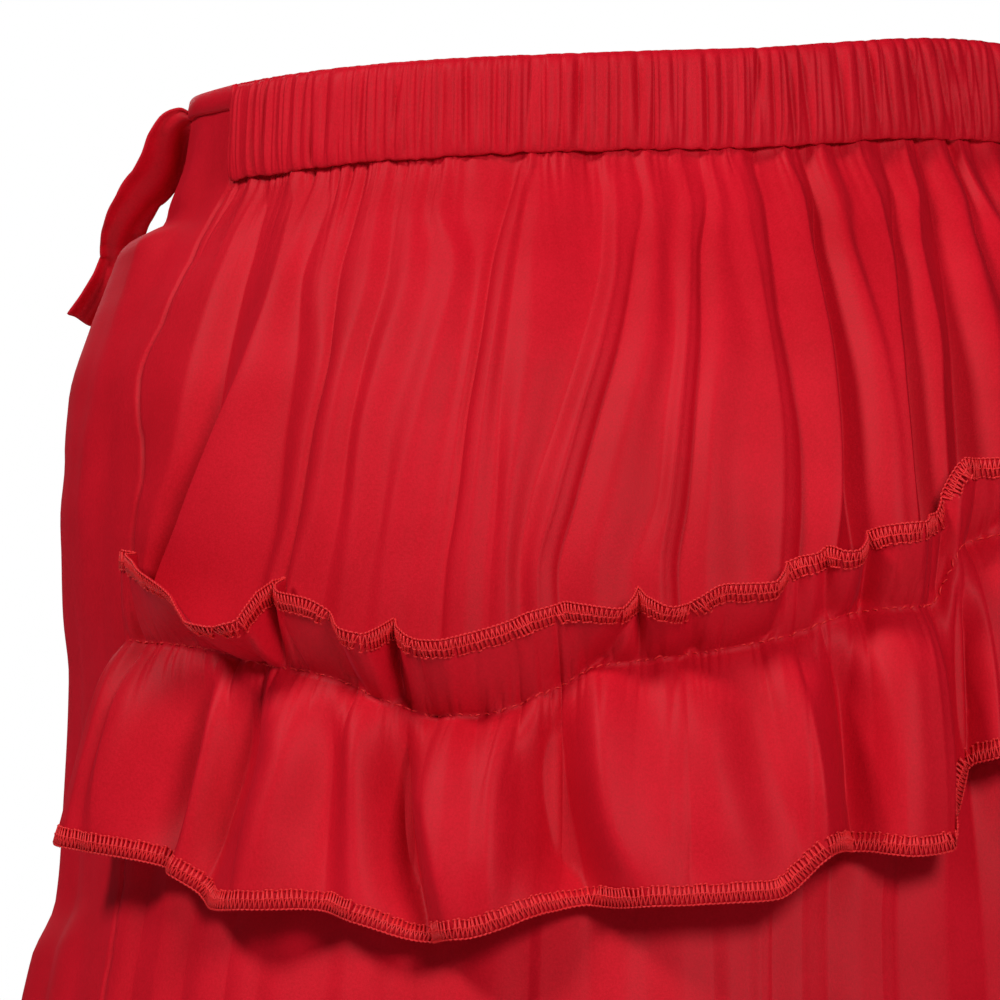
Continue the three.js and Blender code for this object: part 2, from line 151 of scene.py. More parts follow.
# Gathers where a seam draws the cloth together: narrow grooves that start at the seam, lean this way and
# that, and die out within their reach. Each layer has its mean spacing in degrees, its depth and its reach.
def gathersFrom(seam, angles, dist):
    total = np.zeros_like(angles)
    for layer, (spread, deep, reach) in enumerate(seam["layers"]):
        slant = seam["slant"] * seamNoise[layer](angles * grooves["leanEvery"] + seam["seed"]) * dist
        noise = seamNoise[layer + 1](((angles + slant) / spread + seam["seed"]) * 2)
        uneven = seamNoise[layer + 2](angles / spread + 3 * seam["seed"])
        strength = grooves["evenShare"] + (1 - grooves["evenShare"]) * uneven
        groove = np.exp(-(noise / seam["narrow"]) ** 2) * strength
        start = 1 - np.exp(-(dist + grooves["startOff"]) / grooves["startOver"])
        total -= deep * groove * np.exp(-dist / reach) * start
    return total


# Folds are lines that run down the cloth, ridges and valleys in turn. "at" is a line's angle at each of its
# table's places, "off" how far it stands off the smooth form at each of its stages, and "turn" how sharply
# the cloth breaks there on its smaller-angle and larger-angle side, from 0, round, to 3, a knife edge.
def foldLines(rows):
    return [dict(zip(("at", "off", "turn"), row)) for row in rows]


# The angles of a table's fold lines at one level, between the cloth's two edges
def foldNodes(table, edges, level):
    low, high = edges(level)
    lines = sorted(table["lines"], key=lambda line: line["at"][0])
    nodes = [low] + [float(curve(table["places"], line["at"])(level)) for line in lines] + [high]
    for i in range(1, len(nodes)):
        nodes[i] = max(nodes[i], nodes[i - 1] + table["closest"])
    return np.array(nodes)


# How far the folds of a table stand off the smooth form. The cloth runs from line to line, round or sharp as
# each line's turn says.
def foldsAt(table, edges, angles, levels):
    lines = sorted(table["lines"], key=lambda line: line["at"][0])
    offs = [curve(table["stages"], line["off"]) for line in lines]
    before = np.array([1] + [line["turn"][0] for line in lines] + [1], float)
    after = np.array([1] + [line["turn"][1] for line in lines] + [1], float)
    result = np.zeros_like(angles)
    for row, level in enumerate(levels):
        nodes = foldNodes(table, edges, level)
        outs = np.array([0] + [float(off(level)) for off in offs] + [0])
        k = np.clip(np.searchsorted(nodes, angles[row]) - 1, 0, len(nodes) - 2)
        t = np.clip((angles[row] - nodes[k]) / (nodes[k + 1] - nodes[k]), 0, 1)
        share = t * t * (3 - 2 * t) + t * (1 - t) * ((1 - t) * after[k] - t * before[k + 1])
        result[row] = outs[k] + (outs[k + 1] - outs[k]) * share
    return result


unevenness = dict(across=0.7, step=1.7, deeper=0.12, deeperStep=2.3)


# The same folds on the other side of an angle, a little uneven
def mirrored(lines, about):
    copies = []
    for i, line in enumerate(lines):
        shift = unevenness["across"] * math.cos(i // 2 * unevenness["step"])
        deeper = 1 + unevenness["deeper"] * math.sin(i * unevenness["deeperStep"])
        copies.append(dict(
            at=tuple(about - angle + shift for angle in line["at"]),
            off=tuple(out * deeper for out in line["off"]),
            turn=line["turn"][::-1],
        ))
    return copies


# A new object in the scene
def newObject(name, data):
    made = bpy.data.objects.new(name, data)
    bpy.context.scene.collection.objects.link(made)
    return made


def smoothFaces(mesh):
    for polygon in mesh.polygons:
        polygon.use_smooth = True


# Makes an object from points in millimetres and merges its doubles. The faces of a closed one turn outwards.
def makeObject(name, points, faces, closed):
    mesh = bpy.data.meshes.new(name)
    mesh.from_pydata((np.asarray(points, float).reshape(-1, 3) * mm).tolist(), [], faces)
    mesh.update()
    form = bmesh.new()
    form.from_mesh(mesh)
    bmesh.ops.remove_doubles(form, verts=form.verts, dist=0.01 * mm)
    if closed:
        bmesh.ops.recalc_face_normals(form, faces=form.faces)
    form.to_mesh(mesh)
    form.free()
    smoothFaces(mesh)
    return newObject(name, mesh)


# Faces between the points of a grid. Around means that its last row meets its first.
def gridFaces(rows, columns, around=False):
    faces = []
    lastRow = rows if around else rows - 1
    for i in range(lastRow):
        for j in range(columns - 1):
            a = i * columns + j
            b = ((i + 1) % rows) * columns + j
            faces.append((a, a + 1, b + 1, b))
    return faces


# The same for a band that is closed round its profile, with its two ends filled
def bandFaces(rows, columns):
    faces = gridFaces(rows, columns, around=True)
    for column in (0, columns - 1):
        faces.append(tuple(i * columns + column for i in range(rows)))
    return faces


# Places along a span whose two parts have their own number of steps
def inTwoParts(start, split, end, first, second):
    return np.concatenate([
        np.linspace(start, split, first, endpoint=False),
        np.linspace(split, end, second),
    ])


# Turns an object with its modifiers into a plain mesh
def applyAll(thing):
    depsgraph = bpy.context.evaluated_depsgraph_get()
    mesh = bpy.data.meshes.new_from_object(thing.evaluated_get(depsgraph))
    thing.modifiers.clear()
    thing.data = mesh


# Gives a sheet of cloth its thickness
def thicken(thing, thickness):
    modifier = thing.modifiers.new("thickness", "SOLIDIFY")
    modifier.thickness = thickness * mm
    modifier.offset = 0.0
    modifier.use_even_offset = False
    applyAll(thing)
    smoothFaces(thing.data)


# Colours and materials
def linear(code):
    channels = [int(code[i:i + 2], 16) / 255 for i in (1, 3, 5)]
    return tuple(c / 12.92 if c <= 0.04045 else ((c + 0.055) / 1.055) ** 2.4 for c in channels) + (1.0,)


def addNode(tree, kind, links=None, **settings):
    node = tree.nodes.new(kind)
    for key, value in settings.items():
        if key.startswith("in_"):
            name = key[3:].replace("_", " ")
            slot = int(name) if name.isdigit() else name
            node.inputs[slot].default_value = value
        else:
            setattr(node, key, value)
    for slot, source in (links or {}).items():
        tree.links.new(source, node.inputs[slot])
    return node


def newMaterial(name):
    material = bpy.data.materials.new(name)
    material.use_nodes = True
    material.node_tree.nodes.clear()
    return material


# A mix of two colours by a factor
def mixColours(tree, factor, first, second):
    mix = addNode(tree, "ShaderNodeMix", {"Factor": factor}, data_type="RGBA")
    for socket in mix.inputs:
        if socket.type == "RGBA":
            socket.default_value = linear(first if socket.name == "A" else second)
    return [socket for socket in mix.outputs if socket.type == "RGBA"][0]


clothLook = dict(
    lit="#cc0f24", deep="#ba0b1c", roughness=0.56, roughSpread=0.06, specular=0.12, sheen=0.02,
    sheenRoughness=0.35, sheenTint="#ffa8dc", grainPerMm=1.4, grainDepthMm=0.09, patchesPerMm=0.026,
)


# Plain-coloured polyester twill: a fine dry grain, a soft sheen and slightly uneven dye. The real weave has
# about three threads in a millimetre, and the grain is drawn twice as coarse, so that it shows.
def clothMaterial():
    material = newMaterial("redPolyesterTwill")
    tree = material.node_tree
    place = addNode(tree, "ShaderNodeTexCoord")
    patches = addNode(tree, "ShaderNodeTexNoise", {"Vector": place.outputs["Object"]},
                      in_Scale=clothLook["patchesPerMm"] / mm, in_Detail=3.0, in_Roughness=0.6)
    grain = addNode(tree, "ShaderNodeTexNoise", {"Vector": place.outputs["Object"]},
                    in_Scale=clothLook["grainPerMm"] / mm, in_Detail=2.0, in_Roughness=0.7)
    both = addNode(tree, "ShaderNodeMath", {0: patches.outputs["Fac"], 1: grain.outputs["Fac"]},
                   operation="ADD")
    ramp = addNode(tree, "ShaderNodeMapRange", {"Value": both.outputs[0]},
                   in_From_Min=0.75, in_From_Max=1.25)
    rough = addNode(tree, "ShaderNodeMapRange", {"Value": grain.outputs["Fac"]},
                    in_To_Min=clothLook["roughness"] - clothLook["roughSpread"],
                    in_To_Max=clothLook["roughness"] + clothLook["roughSpread"])
    bump = addNode(tree, "ShaderNodeBump", {"Height": grain.outputs["Fac"]}, in_Strength=0.6,
                   in_Distance=clothLook["grainDepthMm"] * mm)
    shader = addNode(tree, "ShaderNodeBsdfPrincipled", {
        "Base Color": mixColours(tree, ramp.outputs["Result"], clothLook["deep"], clothLook["lit"]),
        "Roughness": rough.outputs["Result"], "Normal": bump.outputs["Normal"],
    }, in_Specular_IOR_Level=clothLook["specular"], in_Sheen_Weight=clothLook["sheen"],
        in_Sheen_Roughness=clothLook["sheenRoughness"], in_Sheen_Tint=linear(clothLook["sheenTint"]))
    addNode(tree, "ShaderNodeOutputMaterial", {"Surface": shader.outputs["BSDF"]})
    return material


threadLook = dict(lit="#ee2a2e", deep="#d21c24", roughness=0.5, specular=0.3, twistsPerMm=2.6)


# Spun polyester sewing thread, a little more orange than the cloth
def threadMaterial():
    material = newMaterial("orangeRedThread")
    tree = material.node_tree
    place = addNode(tree, "ShaderNodeTexCoord")
    twist = addNode(tree, "ShaderNodeTexNoise", {"Vector": place.outputs["Object"]},
                    in_Scale=threadLook["twistsPerMm"] / mm, in_Detail=1.0)
    shader = addNode(tree, "ShaderNodeBsdfPrincipled", {
        "Base Color": mixColours(tree, twist.outputs["Fac"], threadLook["deep"], threadLook["lit"]),
    }, in_Roughness=threadLook["roughness"], in_Specular_IOR_Level=threadLook["specular"])
    addNode(tree, "ShaderNodeOutputMaterial", {"Surface": shader.outputs["BSDF"]})
    return material


cloth = clothMaterial()
thread = threadMaterial()


# Cloth for a piece that takes the place of one of the solids
def finishPiece(piece, node):
    piece.data.materials.clear()
    piece.data.materials.append(cloth)
    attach(piece, "root")
    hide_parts(node)


# Camera: the photograph's angle, from behind the wearer's left and a little below
camera = dict(turn=32.0, rise=-6.0, distance=3000.0, target=(43.5, -27.2, -108.0), lens=387.8, sensor=36.0)


# Stands a camera or a lamp off a point and turns it there
def aimAt(thing, target, place, distance):
    turn = math.radians(place["turn"])
    rise = math.radians(place["rise"])
    away = Vector((math.sin(turn) * math.cos(rise), math.cos(turn) * math.cos(rise), math.sin(rise)))
    thing.location = target + away * distance
    thing.rotation_euler = (-away).to_track_quat("-Z", "Y").to_euler()


def placeCamera():
    data = bpy.data.cameras.new("camera")
    data.lens = camera["lens"]
    data.sensor_width = camera["sensor"]
    data.clip_start = 0.05
    data.clip_end = 30.0
    thing = newObject("camera", data)
    aimAt(thing, Vector(camera["target"]) * mm, camera, camera["distance"] * mm)
    bpy.context.scene.camera = thing


placeCamera()
print("camera placed")

# The elastic's gathers, as narrow valleys: the angle at the casing's top and at its bottom, the depth at its
# top, middle and bottom, and the width. The right half, which the camera doesn't reach, is like the left.
gatherColumns = ("top", "bottom", "topDeep", "middleDeep", "bottomDeep", "width")
gatherRows = [
    (84.6, 84.2, 0.2, 0.2, 1.2, 0.5), (82, 82.6, 0.8, 0.9, 1.3, 0.5), (79.5, 79.8, 0.2, 0.3, 0.3, 0.6),
    (77, 77.4, 0.5, 0.3, 0.2, 0.6), (74.3, 74.8, 0.9, 0.5, 0.6, 0.5), (72.9, 73, 0, 0.2, 1.1, 0.5),
    (70.2, 70.8, 0.4, 0.5, 0.3, 0.7), (67.5, 68.3, 0.2, 0.3, 0.5, 0.6), (64.6, 66, 0.6, 0.7, 0.6, 0.8),
    (62.3, 62, 0, 0.2, 1, 0.4), (59.1, 60.7, 0.8, 0.6, 0.4, 0.6), (57.6, 58.3, 0.2, 0.3, 0.3, 0.4),
    (56, 56.6, 0.8, 0.7, 0.6, 0.4), (53.2, 53.4, 0.3, 0.4, 0.2, 0.6), (50.7, 50.4, 1.1, 0.9, 0.9, 0.5),
    (48.9, 48.6, 0.2, 0.4, 0.3, 0.4), (47.2, 47.2, 0.6, 0.5, 0.4, 0.5), (45, 45.1, 0.3, 0.3, 0.6, 0.4),
    (42.5, 43.1, 1.3, 1.1, 1.1, 0.5), (41.3, 41.2, 0.8, 0.8, 0.3, 0.35), (39, 39.2, 0.4, 0.2, 0.6, 0.4),
    (36.8, 36.9, 1.0, 1.0, 0.5, 0.45), (34.9, 35, 0.5, 0.4, 0.6, 0.4), (33, 33.1, 0.2, 0.3, 0.5, 0.4),
    (30.1, 30, 1.1, 0.9, 0.6, 0.5), (28, 28.6, 0.3, 0.2, 0.7, 0.5), (26.1, 26, 0.7, 0.5, 0.3, 0.4),
    (24.5, 24.7, 0.1, 0.1, 0.5, 0.4), (22.1, 22.3, 0.5, 0.5, 0.7, 0.4), (20.4, 20.9, 0.1, 0.2, 0.7, 0.35),
    (19, 19.4, 0.1, 0.2, 0.7, 0.3), (16.1, 17.3, 1.5, 0.9, 0.7, 0.5), (14.7, 14.5, 0.5, 0.6, 0.6, 0.35),
    (13.1, 12.2, 0.9, 0.8, 0.5, 0.4), (11.4, 10.3, 0.6, 0.7, 0.6, 0.35), (9.2, 8.6, 0.2, 0.3, 0.5, 0.35),
    (7, 6.2, 1.2, 0.9, 0.8, 0.4), (4.7, 4.1, 0.8, 0.7, 0.6, 0.35), (3, 1.8, 1.2, 0.9, 0.8, 0.4),
    (1.4, 0.3, 0.8, 0.7, 0.7, 0.35), (-0.4, -1.6, 0.5, 0.5, 0.6, 0.3), (-2.2, -3.7, 1.1, 0.9, 0.8, 0.4),
    (-3.7, -5.2, 0.8, 0.7, 0.7, 0.35), (-5.6, -7.4, 1.2, 0.9, 0.8, 0.4), (-6.7, -8.2, 0.7, 0.6, 0.6, 0.3),
    (-7.9, -9.7, 1.1, 0.9, 0.8, 0.35), (-9.5, -11, 0.6, 0.6, 0.6, 0.3), (-11, -12.2, 1.1, 0.9, 0.8, 0.4),
    (-13.9, -15.2, 0.9, 0.8, 0.7, 0.4),
]
farHalf = dict(beyond=16, top=-0.4, bottom=0.3)
gathers = [dict(zip(gatherColumns, row)) for row in gatherRows]
gathers += [
    dict(gather, top=farHalf["top"] - gather["top"], bottom=farHalf["bottom"] - gather["bottom"])
    for gather in gathers if gather["top"] > farHalf["beyond"]
]
fineness = [waver(21, 0.75), waver(22, 0.42), waver(23, 1.1)]
ribs = dict(deep=0.5, spread=1.4, noiseSpan=2.2, narrow=0.4, slant=0.2, leanEvery=0.3, flank=1.4)


# Depth of the gathers at an angle, at a share of the casing's height down from its top. Finer ribs lie
# between them.
def gathersAt(angles, share):
    leaning = angles + ribs["slant"] * share * fineness[2](angles * ribs["leanEvery"])
    noise = fineness[2](leaning * ribs["noiseSpan"] / ribs["spread"])
    result = -ribs["deep"] * np.exp(-(noise / ribs["narrow"]) ** 2)
    for gather in gathers:
        centre = gather["top"] + (gather["bottom"] - gather["top"]) * share
        near = (angles - centre) / gather["width"]
        depths = (gather["topDeep"], gather["middleDeep"], gather["bottomDeep"])
        result -= np.interp(share, (0, 0.5, 1), depths) * np.exp(-np.abs(near) ** ribs["flank"])
    return result


casing = dict(
    columns=1000, outRows=22, inRows=6, inner=1.0, bulge=2.0, pinch=0.4, striation=0.1, wander=0.6,
    deeper=1.7, topRound=5, bottomRound=3.4, edgeShare=0.35, deepest=-0.75, endGap=0.1, top=0.4, inTop=0.6,
    inRibs=0.1, rimRise=0.1, rimOut=-0.3, rimRibs=(0.15, 0.3), gatherRound=0.5, bulgeRound=0.55, slant=0.6,
    wanderShares=(0.6, 0.4), wanderStep=0.6, wanderRound=3,
)
casingGathers = dict(layers=((1.7, 1.2, 3.5), (4.1, 1.5, 6.0)), slant=0.05, narrow=0.34, seed=41)


# The casing's lower edge wanders a little along its seam
def seamWander(angles):
    slow, fine = casing["wanderShares"]
    return casing["wander"] * (slow * fineness[2](angles * casing["wanderStep"]) + fine * fineness[0](angles))


# The elastic casing: a closed band, ribbed outside by its gathers and plain inside
def buildCasing():
    seam = float(seamAt(-casingHeight)) - casing["endGap"]
    angles = np.linspace(-seam, seam, casing["columns"])
    rows = []
    for i in range(casing["outRows"]):
        share = i / (casing["outRows"] - 1)
        share = 0.5 - 0.5 * math.cos(math.pi * share)
        edge = 1 - abs(2 * share - 1) ** (casing["topRound"] if share < 0.5 else casing["bottomRound"])
        down = casing["top"] + (casingHeight - casing["top"]) * share
        depth = casing["deeper"] * gathersAt(angles, share)
        depth = depth * (casing["edgeShare"] + (1 - casing["edgeShare"]) * edge)
        drawn = gathersFrom(casingGathers, angles, (1 - share) * casingHeight)
        depth += drawn * edge ** casing["gatherRound"]
        both = fineness[0](angles + share) + fineness[1](angles - share * casing["slant"])
        swell = (casing["bulge"] + casing["pinch"]) * edge ** casing["bulgeRound"]
        out = -casing["pinch"] + swell + depth + casing["striation"] * both * edge
        level = -down + seamWander(angles) * share ** casing["wanderRound"]
        rows.append(bodyPoint(angles, level, np.maximum(out, casing["deepest"])))
    for i in range(casing["inRows"]):
        share = 1 - i / (casing["inRows"] - 1)
        down = casing["inTop"] + (casingHeight - 2 * casing["inTop"]) * share
        rows.append(bodyPoint(angles, -down, -casing["inner"] + casing["inRibs"] * gathersAt(angles, share)))
    rim = gathersAt(angles, 0.0)
    rise, out = casing["rimRibs"]
    rows.append(bodyPoint(angles, casing["rimRise"] + rise * rim, casing["rimOut"] + out * rim))
    faces = bandFaces(len(rows), casing["columns"])
    made = makeObject("waistbandBack", np.array(rows), faces, closed=True)
    finishPiece(made, "waistband_back")
    return made


waistbandBack = buildCasing()
print("back casing built")

panelRows = dict(
    top=tuple(np.arange(-28.0, -60, -1.6)) + tuple(np.arange(-60.0, -250, -3.6)),
    low=tuple(np.linspace(-250, hemZ, 40)),
    closest=0.3, topTuck=(2.5, -1.5), hemFold=10.0, hemTucks=((0, -0.5), (0.5, -0.9), (1, -0.7)),
)


def panelHeights(start):
    rest = panelRows["top"] + panelRows["low"][1:]
    return np.array([start] + [z for z in rest if z < start - panelRows["closest"]])


# The back panel's folds, from the wearer's left side seam to just past the centre
leftLines = foldLines([
    ((86.5, 84.5, 84, 84, 84.5, 87.5, 88.7, 88.6, 87.2), (0, 0.3, 0.6, 0.2, 0.5, 0), (0, 0)),
    ((82.3, 80.2, 79.8, 79.6, 80.4, 84.2, 87.2, 86, 84), (-1.2, -4.5, -5.8, -4.5, -8, -20), (0.6, 0.6)),
    ((76.5, 74, 73.4, 74.8, 78.4, 82.4, 86.2, 82.5, 81.5), (0.2, 0.8, 1.6, 1, 0, 0), (0, 1)),
    ((70.3, 68.9, 70, 69.1, 70, 70.6, 72.5, 78.7, 78.5), (-1.2, -2.8, -4.6, -5, -8, -17), (1, 0.3)),
    ((67.3, 66.8, 67.2, 65.6, 67, 68.2, 70.6, 76, 75.2), (-0.4, -0.8, -1.4, -1.2, 0, 0), (0, 0)),
    ((64.4, 64.1, 64.7, 64.5, 66.1, 67.4, 69, 73.2, 72), (-1.2, -2.3, -2.4, -2.2, -4, -15), (2, 2)),
    ((62, 61.4, 61, 62.3, 63.9, 65.3, 67.7, 71.4, 69.3), (0.3, 0.6, 0.6, 0.6, 0, 0), (0, 0)),
    ((59.5, 59.1, 58.6, 60.1, 61.8, 62.8, 64.4, 69.5, 66.5), (-0.8, -1.4, -1.8, -1.8, -3, -13), (0.5, 0.5)),
    ((57.4, 56.9, 56.1, 58, 60.1, 61, 61.9, 67.2, 63.8), (0.2, 0.3, 0.4, 0.4, 0, 0), (0, 0)),
    ((54.6, 55, 53.7, 54.9, 57.3, 58.3, 59.8, 62.6, 61), (-0.8, -0.7, -0.8, -1, -6, -19), (0, 0)),
    ((52.8, 53.3, 50.8, 52.6, 54.8, 57, 58, 60.4, 58.3), (0.2, 0.5, 0.5, 0.2, 0, 0), (0, 0)),
    ((50.8, 50.4, 48.6, 49.8, 51.5, 53.1, 54.8, 58, 55.5), (-0.8, -1.8, -2.2, -2.2, -4, -14), (0, 0)),
    ((47.5, 47, 47.9, 49.1, 50.7, 52.1, 53.6, 56, 52.8), (-0.4, -1.7, -1.9, -1.9, 0, 0), (0, 0)),
    ((43.8, 44.9, 46.8, 48.2, 49.9, 51.1, 52.4, 54.2, 50), (-1.6, -2.9, -3.1, -2.8, -5, -18), (2.4, 1)),
    ((42.6, 43.7, 45.2, 46.7, 48.2, 49.5, 50.5, 51.6, 47.2), (0.4, 0.8, 0.8, 0.6, 0, 0), (0, 0.5)),
    ((41.6, 42.8, 44.1, 45.5, 46.6, 47.3, 48.1, 49.6, 44.5), (-0.3, -0.5, -1.3, -1.6, -5, -15), (1, 0)),
    ((40.4, 41.2, 42.3, 43, 44.6, 46, 46.6, 47.1, 41.8), (0.3, 0.9, 0.9, 0.4, 0, 0), (0, 0)),
    ((35, 34.5, 35.4, 38.1, 41.1, 44, 45.2, 44.1, 39), (-1.6, -2.5, -2.1, -1.9, -5, -18), (0.6, 0)),
    ((33.4, 33, 33.8, 36.2, 39.1, 41.7, 43.6, 43, 36.3), (0.2, 0.8, 1, 0.8, 0, 0), (1.4, 0)),
    ((30.8, 30.2, 32, 34.5, 37.4, 40, 41.9, 39, 33.5), (-0.8, -1.6, -2.3, -2.4, -5, -15), (0.4, 2.4)),
    ((29.3, 28.9, 29.9, 31.6, 34.4, 36.9, 38.7, 36, 30.8), (0.2, 0.5, 0.6, 0.4, 0, 0), (0, 0)),
    ((26.9, 26.6, 28.3, 29.5, 31.4, 32.8, 35.4, 34.1, 28), (-0.9, -1.2, -1.4, -1.6, -4, -13), (0, 0)),
    ((25.2, 25, 26.4, 28.2, 29.9, 31.5, 32.7, 31, 25.5), (0.2, 0.6, 0.7, 0.5, 0, 0), (1.2, 0)),
    ((23.2, 23.2, 25.4, 27, 28.6, 30, 31.3, 28.8, 23), (-1.4, -1.8, -2.1, -2.4, -4.5, -17), (0.3, 2.6)),
    ((22.2, 21.8, 23.4, 24.6, 26.8, 28, 28.6, 27.2, 21.5), (0.1, 0.2, 0.2, 0.2, 0, 0), (0, 0)),
    ((21.4, 20.9, 22.2, 22.6, 24.3, 25.7, 25.4, 25.7, 20), (-0.4, -0.3, -0.5, -1, -2, -6), (0, 0)),
    ((19.6, 19.2, 19.8, 20.5, 20.8, 21.6, 22.4, 24.6, 18.8), (0.5, 1, 1, 0.8, 0, 0), (1, 0)),
    ((17, 16.9, 18.1, 19.2, 19.2, 19.8, 20.6, 23.7, 17.5), (-1.8, -2.4, -2.4, -2.6, -4.5, -14), (0.3, 2.4)),
    ((13.4, 12.8, 13.9, 14.7, 15.4, 16.3, 17.6, 21.2, 14.8), (0.3, 1, 1.2, 0.8, 0, 0), (1.5, 0)),
    ((11.2, 11, 12.7, 13.5, 14.3, 15.3, 14.8, 18.9, 12), (-2.2, -6.5, -8, -8, -10, -20), (1, 1.6)),
    ((9.2, 9, 9.9, 10.1, 10.3, 10.9, 11.2, 16, 9.2), (0.4, 1, 1.4, 1.2, 0, 0), (0, 0)),
])
centreLines = foldLines([
    ((7.2, 6.9, 8.8, 9.2, 9.6, 10.1, 10.4, 15, 8.4), (-1.6, -0.6, 1.2, 1, 0, 0), (0, 0)),
    ((4.2, 4.3, 5.6, 7.8, 8.9, 9.5, 9.6, 14.3, 7.4), (0.3, 0.9, 1.3, 1, 0, 0), (1.4, 0)),
    ((1.4, 1.8, 4.3, 6.7, 7.9, 8.6, 8.5, 13, 6.2), (-2, -5, -5, -4.5, -6, -14), (0.3, 2)),
    ((-1.2, -0.7, 2.1, 3.6, 5.2, 6, 5.8, 8.4, 3.4), (0.2, 0.4, 0.3, 0, 0, 0), (1, 0)),
    ((-3.6, -3, -1.1, 1.1, 2.5, 3.4, 3.8, 4.7, 0.3), (-2.3, -6, -9, -11, -15, -22), (0.6, 1.2)),
    ((-5.8, -5.7, -3.9, -2.4, -1.6, -1, -0.8, 0, -2.8), (0.3, 1, 1.4, 1.2, 0, 0), (0, 0)),
    ((-7.9, -7.7, -5.8, -5.2, -4.8, -4.6, -4.4, -5, -5.8), (-2, -3.5, -3.5, -3.5, -5, -14), (0.8, 0.8)),
])
backFolds = dict(
    places=(-29, -39, -58, -81, -103, -125, -146, -240, -950),
    stages=(-29, -58, -103, -146, -240, -950),
    closest=0.3,
    lines=leftLines + centreLines + mirrored(leftLines, 0),
)
backLook = dict(
    seenStep=0.165, hiddenStep=0.5, fewest=5, split=-12.0, seamGap=0.001, gatherReach=7.0, gatherLong=24.0,
    longShare=0.3, gatherDepth=0.8, sway=0.22, swayFrom=30.0, seamPinch=0.6, seamReach=2.0, calmAt=-250.0,
    calmOver=65.0, calmShare=0.88, top=-27.3, countAt=-60, wanderReach=4.0,
)
panelGathers = dict(layers=((1.7, 1.3, 4.0), (4.1, 2.2, 10.0)), slant=0.06, narrow=0.34, seed=41)
wander = [waver(seed, step) for seed, step in ((11, 9.0), (12, 5.0), (14, 33.0))]
drift = dict(slow=0.04, across=0.6, fineShare=0.5, fineStep=1.1, fine=0.05)


# Slow unevenness of the cloth, which drifts sideways down the panel
def undulation(angles, z):
    slow = wander[0](angles + z * drift["slow"]) * wander[2](z + angles * drift["across"])
    return slow + drift["fineShare"] * wander[1](angles * drift["fineStep"] - z * drift["fine"])


def backEdges(z):
    return -float(seamAt(z)), float(seamAt(z))


# How far the back panel stands off the smooth form. Its folds are calm just below the ruffle.
def backOff(angles, heights):
    off = foldsAt(backFolds, backEdges, angles, heights)
    for row, z in enumerate(heights):
        below = -casingHeight - z
        fade = (1 - backLook["longShare"]) * math.exp(-below / backLook["gatherReach"])
        fade += backLook["longShare"] * math.exp(-below / backLook["gatherLong"])
        fromCalm = (z - backLook["calmAt"]) / backLook["calmOver"]
        off[row] *= 1 - backLook["calmShare"] * math.exp(-(fromCalm ** 2))
        off[row] += gathersAt(angles[row], 1.0) * backLook["gatherDepth"] * fade
        off[row] += gathersFrom(panelGathers, angles[row], below)
        swayed = 1 - math.exp(-below / backLook["swayFrom"])
        off[row] += backLook["sway"] * swayed * undulation(angles[row], z)
        off[row] -= backLook["seamPinch"] * math.exp(-below / backLook["seamReach"])
    return off


# A panel from its rows, with its top edge turned in and its hem turned up inside
def rowsToPanel(name, angles, levels, off, columns):
    points = [bodyPoint(angles[row], levels[row], off[row]) for row in range(len(levels))]
    rise, tuck = panelRows["topTuck"]
    points.insert(0, bodyPoint(angles[0], levels[0] + rise, off[0] + tuck))
    for share, tuck in panelRows["hemTucks"]:
        points.append(bodyPoint(angles[-1], levels[-1] + share * panelRows["hemFold"], off[-1] + tuck))
    return makeObject(name, np.array(points), gridFaces(len(points), columns), closed=False)


seamDraw = dict(
    deep=0.8, reach=1.2, tucked=0.35, tuckedTo=0.6, puckers=0.35, puckerReach=3.0, fineShare=0.6,
)
seamTicks = [waver(41, 4.5), waver(42, 2.6)]


# Puckers where a seam's thread draws the cloth in, close to a side edge
def drawnIn(fromEdge, z):
    ticks = seamTicks[0](z) + seamDraw["fineShare"] * seamTicks[1](z)
    draw = -seamDraw["deep"] * np.clip(1 - fromEdge / seamDraw["reach"], 0, 1) ** 2
    return draw + seamDraw["puckers"] * ticks * np.exp(-fromEdge / seamDraw["puckerReach"])


# The back panel's columns run along its folds. Each is placed by its number in the row of fold lines.
def backColumns():
    nodes = foldNodes(backFolds, backEdges, backLook["countAt"])
    numbers = []
    for k in range(len(nodes) - 1):
        step = backLook["seenStep"] if nodes[k] > backLook["split"] else backLook["hiddenStep"]
        count = max(backLook["fewest"], round((nodes[k + 1] - nodes[k]) / step))
        numbers += [k + i / count for i in range(count)]
    return np.array(numbers + [len(nodes) - 1.0])


def buildBackPanel():
    heights = panelHeights(backLook["top"])
    columns = backColumns()
    rows = []
    for z in heights:
        nodes = foldNodes(backFolds, backEdges, z)
        rows.append((1 - backLook["seamGap"]) * np.interp(columns, np.arange(len(nodes)), nodes))
    angles = np.array(rows)
    off = backOff(angles, heights)
    levels = []
    for row, z in enumerate(heights):
        off[row] += drawnIn(float(seamAt(z)) - np.abs(angles[row]), z)
        fade = math.exp((z + casingHeight) / backLook["wanderReach"])
        levels.append(z + seamWander(angles[row]) * fade)
    made = rowsToPanel("backPanel", angles, levels, off, len(columns))
    finishPiece(made, "back_panel")
    return made


backPanel = buildBackPanel()
print("back panel built")

# The front band's profile has a row for each line round it, outside and then inside: the share of the height
# down from its top, a rise from there, how far out, and whether it blouses over with the cloth below.
band = dict(
    sideHeight=7.0, frontHeight=5.0, taperFrom=90.0, taperTo=115.0, columns=360, soft=0.15, lipZ=-4,
    profile=((0, 0.1, 0, 1), (0, -0.3, 0.9, 1), (0.5, 0, 1.2, 1), (1, 0.5, 1.05, 1), (1, 0, 0.2, 1),
             (1, 0, -0.7, 0), (0.5, 0, -0.9, 0), (0, -0.2, -0.8, 0)),
)


